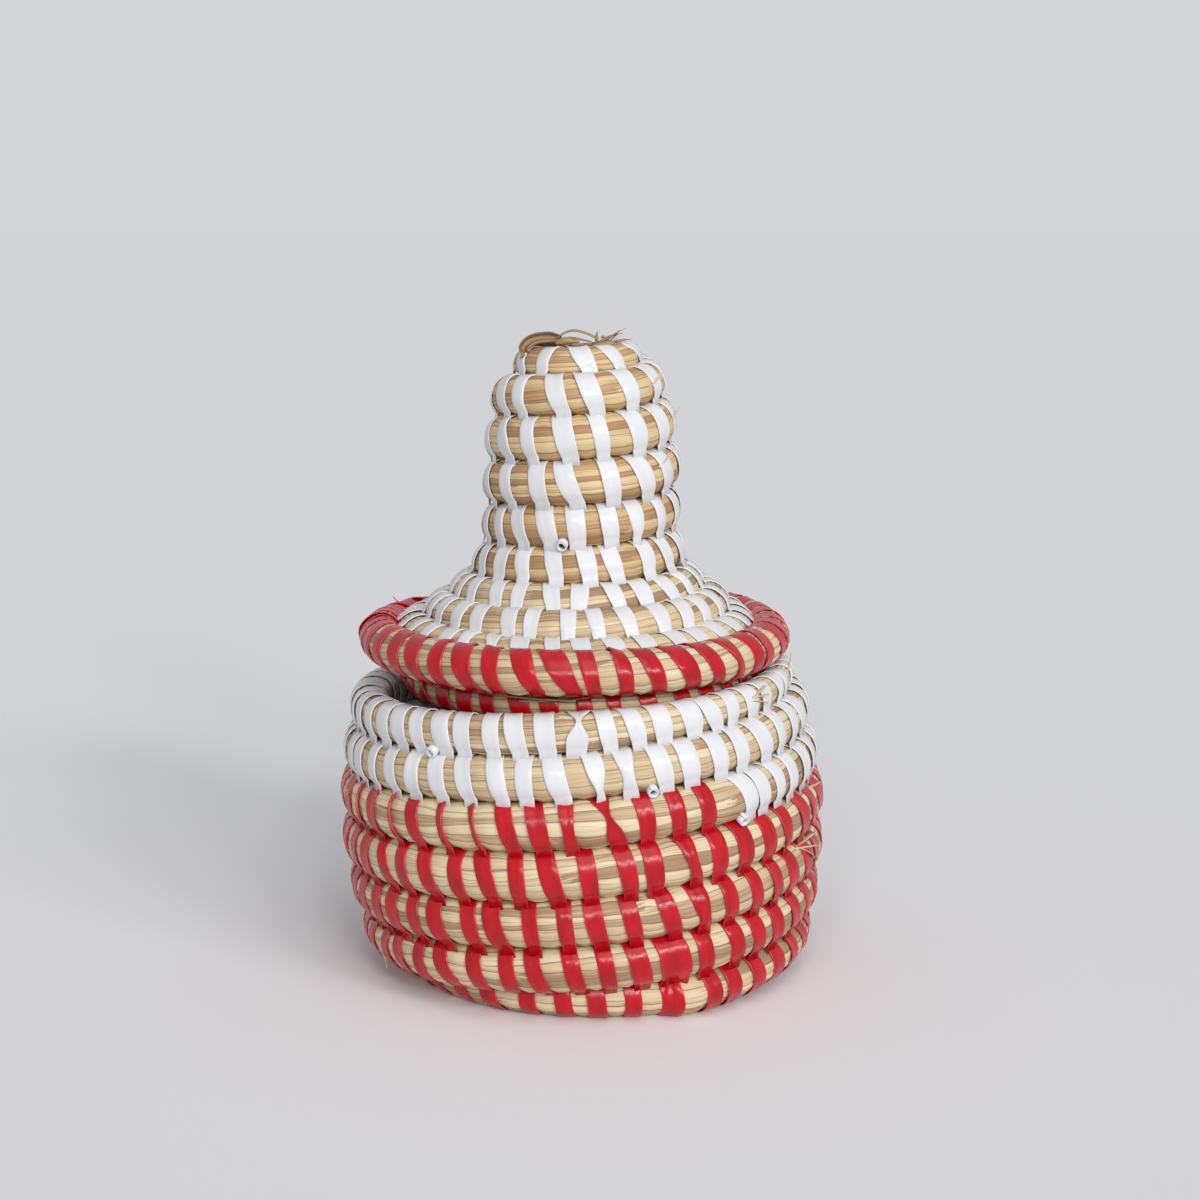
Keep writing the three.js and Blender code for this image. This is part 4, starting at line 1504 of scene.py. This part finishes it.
@dataclass
class Lid:
    """The lid: a red brim, a flare like a bell and a tall knob that rounds in at its top, lashed white."""

    brim_radius: float = 44.19
    knob_radius: float = 16.8
    knob_top_radius: float = 8.2
    rise: float = 60.8
    brim_width: float = 8.2
    flare_width: float = 6.3
    knob_width: float = 7.9
    top_width: float = 5.4
    brim_end_angle: float = 140.0
    brim_end_share: float = 0.5
    brim_taper_turns: float = 0.15
    knob_turn: float = 3.9
    flare_shares: tuple[tuple[float, float], ...] = (
        (1.0, 0.0),
        (0.81, 0.006),
        (0.62, 0.03),
        (0.425, 0.115),
        (0.195, 0.198),
        (0.05, 0.317),
    )
    knob_shares: tuple[tuple[float, float], ...] = (
        (1.005, 0.456),
        (0.99, 0.614),
        (0.93, 0.763),
        (0.845, 0.893),
    )

    def profile(self) -> Profile:
        """The lid's section line: a spline through points given as shares of its radii and height."""
        flare = [
            (self.knob_radius + out * (self.brim_radius - self.knob_radius), up * self.rise)
            for out, up in self.flare_shares
        ]
        knob = [(out * self.knob_radius, up * self.rise) for out, up in self.knob_shares]
        points = np.array([*flare, *knob, (self.knob_top_radius, self.rise)])
        padded = np.concatenate([points[:1], points, points[-1:]])
        share = np.linspace(0.0, 1.0, 120, endpoint=False)[:, None]
        spans = []
        for before, start, end, after in zip(padded, padded[1:], padded[2:], padded[3:]):
            leave, arrive = 0.5 * (end - before), 0.5 * (after - start)
            cubic = 2.0 * (start - end) + leave + arrive
            square = 3.0 * (end - start) - 2.0 * leave - arrive
            spans.append(((cubic * share + square) * share + leave) * share + start)
        line = np.concatenate([*spans, points[-1:]])
        return Profile.through(line[:, 0], line[:, 1])

    def coil(self) -> Coil:
        """Lays the bundle from the brim in and up to the knob's top, at the height where the CAD lid sits."""
        winding = Winding(
            widths=(
                self.brim_width,
                self.flare_width,
                self.flare_width,
                self.knob_width,
                self.knob_width,
                self.top_width,
            ),
            width_shares=(0.0, 0.17, 0.32, 0.62, 0.8, 1.0),
            first_angle=self.brim_end_angle,
            turn_sign=1,
            end_share=self.brim_end_share,
            taper_turns=self.brim_taper_turns,
        )
        coil = Coil.wound(self.profile(), winding, Lean(), start=-75.0, end=150.0)
        low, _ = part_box("lid_grass_coil")
        return coil.raised(low.z / MM - float(np.min(coil.heights - coil.halves)))

    def build(self, finishes: Finishes) -> None:
        """Makes the lid's grass and strips.

        Args:
            finishes: the basket's finishes.
        """
        coil = self.coil()
        stitches = Stitches.along(
            coil,
            [
                (0.12, Lashing(pitch=4.3, width=3.5, slant=3.0)),
                (1.0, Lashing(pitch=6.7, width=3.6, slant=5.0)),
                (4.0, Lashing(pitch=6.7, width=3.5, slant=1.8)),
                (5.6, Lashing(pitch=6.6, width=3.5, slant=2.4)),
                (coil.last + 1.0, Lashing(pitch=7.9, width=3.6, slant=3.8)),
            ],
            seed=23,
            margin=0.006,
        )
        bundle = Bundle(coil, stitches, basket_axis(), stem_count=14, twist=1.5, seed=8)
        piece = bundle.grass("lid_grass", finishes.grass, 0.0, self.knob_turn)
        place_piece(piece, Body.LID, ["lid_grass_coil"])
        knob = replace(bundle, twist=0.5, stem_count=16)
        piece = knob.grass("knob_grass", finishes.knob_grass, self.knob_turn, coil.last)
        place_piece(piece, Body.LID, ["lid_grass_coil"])
        white_nodes = [f"lid_white_strip_{number}" for number in range(1, 6)]
        piece = bundle.strip("brim_lashing", finishes.red, 0.0, 1.0)
        place_piece(piece, Body.LID, ["brim_red_strip_1"])
        piece = bundle.strip("lid_white_lashing", finishes.white, 1.0, coil.last)
        place_piece(piece, Body.LID, white_nodes)
        self._brim_end(bundle, finishes)
        knob_row = 5 + (266.0 - self.brim_end_angle) / FULL_TURN
        rolled = bundle.rolled_end(RolledEnd(knob_row, radius=1.05))
        place_piece(rolled.to_object("knob_rolled_end", finishes.white), Body.LID, white_nodes)
        fibres = [
            Fibre(0.03, 60.0, 7.0, 20.0, 2.2),
            Fibre(0.93, 100.0, 6.0, -20.0, 1.8),
            Fibre(6.5, 20.0, 5.0, 25.0, 1.8),
            Fibre(7.55, 10.0, 5.0, 20.0, 1.4),
            Fibre(8.5, 0.0, 4.5, 30.0, 1.6),
            Fibre(2.1, 95.0, 6.0, 20.0, 1.0, 0.4),
        ]
        brushes = [Brush(coil.last, 1.0, 30, 3.2), Brush(0.0, -1.0, 26, 1.8, seed=5)]
        ends = Skin.joined([bundle.brush(brush) for brush in brushes])
        place_piece(ends.to_object("lid_stem_ends", finishes.grass), Body.LID, ["lid_grass_coil"])
        tail = bundle.loose_end(Fibre(0.735, 70.0, 4.5, 25.0, 3.0, 0.1), 2.4)
        place_piece(tail.to_object("brim_loose_end", finishes.red), Body.LID, ["brim_red_strip_1"])
        strays = Skin.joined([bundle.fibre(loose) for loose in fibres])
        place_piece(strays.to_object("lid_fibres", finishes.grass), Body.LID, ["lid_grass_coil"])

    def _brim_end(self, bundle: Bundle, finishes: Finishes) -> None:
        """The brim's end is bound down with a second, wilder layer of strip.

        Args:
            bundle: the lid's bundle.
            finishes: the basket's finishes.
        """
        plan = [(1.0, Lashing(pitch=5.6, width=3.3, slant=7.0, unevenness=0.3))]
        over = Stitches.along(bundle.coil, plan, seed=41, margin=0.008)
        over.slants *= np.where(np.arange(len(over.slants)) % 2 == 0, 1.0, -0.5)
        binding = replace(bundle, stitches=over, strip_raise=0.34)
        piece = binding.strip("brim_end_binding", finishes.red, 0.0, 0.115)
        place_piece(piece, Body.LID, ["brim_red_strip_1"])


@dataclass
class MouthRing:
    """The ring of grass under the brim that finds the mouth, lashed red."""

    bundle_width: float = 6.6
    joint_angle: float = 100.0
    joint_gap: float = 0.6

    def coil(self) -> Coil:
        """One flat turn, as large and as high as the CAD ring, whose two ends stop short of each other."""
        low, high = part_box("mouth_ring_grass")
        half = 0.5 * self.bundle_width
        radius = 0.5 * (high.x - low.x) / MM - half
        height = 0.5 * (high.z + low.z) / MM
        short = self.joint_gap / (2.0 * math.pi * (radius - half))
        turns = np.arange(91) / 90.0
        angles = self.joint_angle + FULL_TURN * turns * (1.0 - short)
        same = np.ones(len(turns))
        return Coil(turns, angles, radius * same, height * same, half * same, -90.0, 90.0)

    def build(self, finishes: Finishes) -> None:
        """Makes the ring's grass and strip.

        Args:
            finishes: the basket's finishes.
        """
        coil = self.coil()
        plan = [(2.0, Lashing(pitch=6.8, width=3.6, slant=2.2))]
        stitches = Stitches.along(coil, plan, seed=31, margin=0.01)
        bundle = Bundle(coil, stitches, basket_axis(), stem_count=12, twist=0.5, seed=9, bridge_from=2.0)
        split_stems = [
            (Fibre(0.27, 40.0, 17.0, -12.0, 1.0, 0.1), 1.5),
            (Fibre(0.3, 25.0, 12.0, 10.0, 1.3, 0.1), 1.2),
            (Fibre(0.39, 42.0, 19.0, -14.0, 1.1, 0.1), 1.6),
            (Fibre(0.42, 24.0, 15.0, 12.0, 1.2, 0.1), 1.1),
            (Fibre(0.72, 35.0, 14.0, -10.0, 1.0, 0.1), 1.3),
        ]
        loose = Skin.joined([bundle.loose_end(fibre, width) for fibre, width in split_stems])
        piece = loose.to_object("ring_split_stems", finishes.grass)
        place_piece(piece, Body.LID, ["mouth_ring_grass"])
        piece = bundle.grass("ring_grass", finishes.grass, 0.0, 1.0)
        place_piece(piece, Body.LID, ["mouth_ring_grass"])
        piece = bundle.strip("ring_lashing", finishes.red, 0.0, 1.0)
        place_piece(piece, Body.LID, ["mouth_ring_red_strip_1"])


@dataclass(frozen=True)
class Blade:
    """A loose blade of grass: the points it runs through, from the tuft's middle, its width and its curl."""

    route: tuple[tuple[float, float, float], ...]
    width: float = 1.9
    curl: float = 0.4
    roll: float = 0.0
    tip: float = 0.4
    thickness: float = 0.2


@dataclass
class Tuft:
    """The grass ends at the top of the knob: a stub in the hole, and blades that arch out over it."""

    coil: Coil
    front_azimuth: float = 265.0
    lashing_room: float = 0.75
    rosette_count: int = 26
    rosette_turn: float = 2.2
    rosette_width: float = 2.3
    stub_sides: int = 42
    stub_radius: float = 4.7
    stub_drop: float = 1.9
    blades: tuple[Blade, ...] = (
        Blade(
            (
                (-4.5, -2.4, 0.7),
                (-7.6, -3.5, 0.8),
                (-10.3, -4.2, 0.4),
                (-12.0, -4.7, -0.9),
                (-12.3, -4.9, -2.9),
            ),
            5.8,
            2.3,
            118.0,
            0.8,
        ),
        Blade(
            ((-5.0, -1.0, 0.0), (-8.4, -1.6, 1.0), (-11.2, -2.2, 0.3), (-12.5, -2.4, -1.7)),
            4.4,
            1.7,
            20.0,
            0.6,
        ),
        Blade(
            (
                (-5.8, -3.6, 0.8),
                (-3.8, -4.3, 2.4),
                (-1.9, -4.6, 3.0),
                (0.2, -4.8, 2.7),
                (2.2, -4.9, 1.9),
                (3.5, -4.7, 0.9),
            ),
            1.2,
            0.7,
            20.0,
            0.9,
        ),
        Blade(((-5.6, -4.0, 0.4), (-3.2, -4.9, 1.0), (-0.4, -4.9, 0.5)), 2.6, 1.5, 60.0, 0.3),
        Blade(((-5.0, -3.2, 0.9), (-2.4, -4.2, 1.5), (0.8, -4.4, 0.9), (2.6, -4.2, 0.3)), 1.5, 0.9, 0.0, 0.5),
        Blade(((2.8, -4.9, -0.1), (3.1, -5.1, 1.4), (3.3, -5.0, 2.6)), 0.9, 0.8, 90.0),
        Blade(((2.2, -4.0, 0.2), (5.0, -4.7, 1.1), (7.2, -5.1, 2.5), (9.3, -5.3, 3.4)), 1.3, 0.9, 0.0, 0.25),
        Blade(((3.0, -3.8, 0.3), (5.8, -4.5, 1.7), (8.6, -4.9, 2.3)), 0.9, 0.8, 30.0, 0.25),
        Blade(((4.4, -4.3, 0.0), (7.2, -4.8, 0.8), (10.6, -5.0, 1.1)), 1.3, 0.9, 0.0, 0.3),
        Blade(((2.4, -4.6, 0.0), (5.4, -5.1, 0.7), (8.4, -5.0, 0.1)), 2.6, 1.3, 30.0, 0.4),
        Blade(((5.5, -4.6, 0.4), (7.0, -5.0, 1.9), (7.6, -5.2, 2.9)), 0.7, 0.8, 0.0, 0.25),
        Blade(((4.5, -1.6, -0.5), (8.3, -2.4, 0.8), (11.0, -2.8, -0.6)), 2.0, 0.9),
        Blade(((-1.0, 1.4, -0.8), (-2.0, 6.0, -0.3), (-1.6, 9.6, -1.6), (-1.2, 12.0, -3.0)), 2.6, 0.8),
        Blade(((-3.0, 2.4, -0.8), (-6.0, 5.0, 0.2), (-9.5, 6.0, -1.0), (-11.2, 6.6, -2.8)), 2.6, 1.4, -30.0),
    )

    def build(self, finishes: Finishes) -> None:
        """Makes the tuft as one piece.

        Args:
            finishes: the basket's finishes.
        """
        low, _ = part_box("knob_tuft")
        _, _, height, half = self.coil.station(np.array([self.coil.azimuth_turn(0, self.front_azimuth)]))
        top = np.array([*basket_axis(), float(height[0] + half[0]) + self.lashing_room])
        skins = [self._blade_skin(blade, top) for blade in self.blades]
        skins += self._rosette(top)
        stub_top = top - np.array([0.0, 0.0, self.stub_drop])
        skins.append(self._stub_skin(stub_top, self.stub_radius, stub_top[2] - low.z / MM))
        piece = Skin.joined(skins).to_object("knob_tuft_grass", finishes.tuft)
        place_piece(piece, Body.LID, ["knob_tuft"])

    def _blade_skin(self, blade: Blade, origin: Array) -> Skin:
        """A blade as a ribbon along a smooth line through its points, narrower towards both its ends."""
        route = np.array(blade.route)
        share = np.linspace(0.0, len(route) - 1.0, 30)
        path = origin + spline(route, share)
        part = share / share[-1]
        taper = mix(1.0, blade.tip, smooth_step((part - 0.5) / 0.5)) * mix(0.6, 1.0, smooth_step(part / 0.25))
        return ribbon(path, blade.width * taper, blade.curl, blade.thickness, blade.roll)

    def _rosette(self, top: Array) -> list[Skin]:
        """The bundle's last blades, which turn in from the top row and close the hole like a swirl: each
        runs from the row's inner shoulder to the middle while it goes part of the way round.

        Args:
            top: the middle of the tuft.

        Returns:
            One skin per blade.
        """
        rng = np.random.default_rng(17)
        share = np.linspace(0.0, 1.0, 14)
        skins = []
        for number in range(self.rosette_count):
            azimuth = FULL_TURN * (number + rng.uniform(-0.3, 0.3)) / self.rosette_count
            _, radius, height, half = (
                value[0] for value in self.coil.station(np.array([self.coil.azimuth_turn(0, azimuth)]))
            )
            angle = math.radians(azimuth) + self.rosette_turn * share
            out = mix(radius - 0.5 * half, 0.7, share**0.8)
            start = height + 0.55 * half
            end = top[2] - self.stub_drop + rng.uniform(0.1, 0.9)
            rise = mix(start, end, smooth_step(share)) + rng.uniform(0.0, 0.5) * np.sin(np.pi * share)
            path = np.stack([top[0] + out * np.cos(angle), top[1] + out * np.sin(angle), rise], 1)
            widths = self.rosette_width * rng.uniform(0.6, 1.2) * mix(1.0, 0.45, share)
            skins.append(ribbon(path, widths, rng.uniform(0.5, 1.1), 0.2, rng.uniform(-25.0, 25.0)))
        return skins

    def _stub_skin(self, top: Array, radius: float, depth: float) -> Skin:
        """The bundle's cut end standing in the hole: a ridged plug with an uneven, slightly domed top."""
        rng = np.random.default_rng(4)
        angle = 2.0 * np.pi * np.arange(self.stub_sides) / self.stub_sides
        ridge = 1.0 - 0.08 * (np.arange(self.stub_sides) % 3 == 0)
        rises = np.array([-depth, -1.5, -0.6, -0.2, 0.0, 0.1])
        radii = np.array([1.0, 1.0, 0.97, 0.85, 0.6, 0.2]) * radius
        grid = np.stack(
            [
                top[0] + radii[:, None] * ridge * np.cos(angle),
                top[1] + radii[:, None] * ridge * np.sin(angle),
                top[2] + rises[:, None] + 0.25 * rng.uniform(-1.0, 1.0, (len(rises), self.stub_sides)),
            ],
            -1,
        )
        stems = np.arange(self.stub_sides + 1) / 3.0
        places = np.stack(np.broadcast_arrays(stems[None, :], radii[:, None]), -1)
        return Skin.tube(grid, places)


def spline(points: Array, share: Array) -> Array:
    """A smooth line through points: each span is a cubic whose ends run along the chords beside them.

    Args:
        points: the points, one per row.
        share: places on the line, where a whole number is a point.

    Returns:
        One point per place.
    """
    padded = np.concatenate([2.0 * points[:1] - points[1:2], points, 2.0 * points[-1:] - points[-2:-1]])
    low = np.clip(np.floor(share).astype(int), 0, len(points) - 2)
    t = (share - low)[:, None]
    before, start, end, after = (padded[low + n] for n in range(4))
    leave, arrive = 0.5 * (end - before), 0.5 * (after - start)
    cubic = 2.0 * (start - end) + leave + arrive
    square = 3.0 * (end - start) - 2.0 * leave - arrive
    return ((cubic * t + square) * t + leave) * t + start


@dataclass
class Studio:
    """The pale floor, the soft lights and the camera."""

    camera_distance: float = 0.529
    camera_height: float = 0.1793
    camera_drop: float = 10.65
    lens: float = 75.0
    shift: float = 0.015
    floor_size: float = 8.0
    floor_colour: Colour = (0.875, 0.87, 0.89)
    backdrop_colour: Colour = (0.65, 0.657, 0.684)
    world_colour: Colour = (0.93, 0.96, 1.0)
    world_strength: float = 0.3
    window_spread: float = 10.0
    windows: tuple[tuple[float, float, float], ...] = (
        (-12.0, 27.0, 0.28),
        (0.0, 19.0, 0.36),
        (12.0, 28.0, 0.44),
        (24.0, 19.0, 0.46),
        (36.0, 27.0, 0.45),
        (48.0, 18.0, 0.41),
    )

    def build(self) -> None:
        """Sets up the floor, the world, the lights and the camera."""
        self._floor()
        self._world()
        self._sun("key", azimuth=16.0, elevation=60.0, spread=45.0, strength=0.6)
        for number, (azimuth, elevation, strength) in enumerate(self.windows, 1):
            self._sun(f"window_{number}", azimuth, elevation, self.window_spread, strength)
        self._camera()

    def _floor(self) -> None:
        """A large pale sheet to stand on."""
        half = 0.5 * self.floor_size
        corners = [(-half, -half, 0.0), (half, -half, 0.0), (half, half, 0.0), (-half, half, 0.0)]
        mesh = bpy.data.meshes.new("floor")
        mesh.from_pydata(corners, [], [(0, 1, 2, 3)])
        material = bpy.data.materials.new("floor_paper")
        material.use_nodes = True
        shader = material.node_tree.nodes["Principled BSDF"]
        shader.inputs["Base Color"].default_value = (*self.floor_colour, 1.0)
        shader.inputs["Roughness"].default_value = 1.0
        shader.inputs["Specular IOR Level"].default_value = 0.0
        mesh.materials.append(material)
        floor = bpy.data.objects.new("floor", mesh)
        bpy.context.scene.collection.objects.link(floor)

    def _world(self) -> None:
        """Even soft light from all round, and the pale backdrop that the camera and reflections see."""
        world = bpy.data.worlds.new("studio")
        world.use_nodes = True
        world.node_tree.nodes.clear()
        n = Shades(world.node_tree)
        path = n.node("ShaderNodeLightPath")
        seen = n.sum("MAXIMUM", path.outputs["Is Camera Ray"], path.outputs["Is Glossy Ray"])
        seen = n.sum("MAXIMUM", seen, path.outputs["Is Transmission Ray"])
        background = n.node("ShaderNodeBackground")
        n.join(n.blend(seen, self.world_colour, self.backdrop_colour), background.inputs["Color"])
        strength = n.sum("MULTIPLY_ADD", seen, 1.0 - self.world_strength, self.world_strength)
        n.join(strength, background.inputs["Strength"])
        output = n.node("ShaderNodeOutputWorld")
        n.join(background.outputs[0], output.inputs["Surface"])
        bpy.context.scene.world = world

    def _sun(self, name: str, azimuth: float, elevation: float, spread: float, strength: float) -> None:
        """An even soft light from one side.

        Args:
            name: its name.
            azimuth: degrees to the right of the camera.
            elevation: degrees above the floor.
            spread: the angle that it fills, which softens its shadows.
            strength: its strength.
        """
        data = bpy.data.lights.new(name, "SUN")
        data.angle = math.radians(spread)
        data.energy = strength
        lamp = bpy.data.objects.new(name, data)
        lamp.rotation_euler = (math.radians(90.0 - elevation), 0.0, math.radians(azimuth))
        bpy.context.scene.collection.objects.link(lamp)

    def _camera(self) -> None:
        """The camera at the photograph's place, tipped down, with the basket a little left of the middle."""
        data = bpy.data.cameras.new("camera")
        data.lens = self.lens
        data.shift_x = self.shift
        camera = bpy.data.objects.new("camera", data)
        camera.location = (0.0, -self.camera_distance, self.camera_height)
        camera.rotation_euler = (math.radians(90.0 - self.camera_drop), 0.0, 0.0)
        bpy.context.scene.collection.objects.link(camera)
        bpy.context.scene.camera = camera


def main() -> None:
    logging.basicConfig(level=logging.INFO, format="%(name)s: %(message)s")
    bpy.context.scene.view_settings.view_transform = "Standard"
    finishes = Finishes()
    Pot().build(finishes)
    lid = Lid()
    lid.build(finishes)
    MouthRing().build(finishes)
    Tuft(lid.coil()).build(finishes)
    Studio().build()


if __name__ == "__main__":
    main()
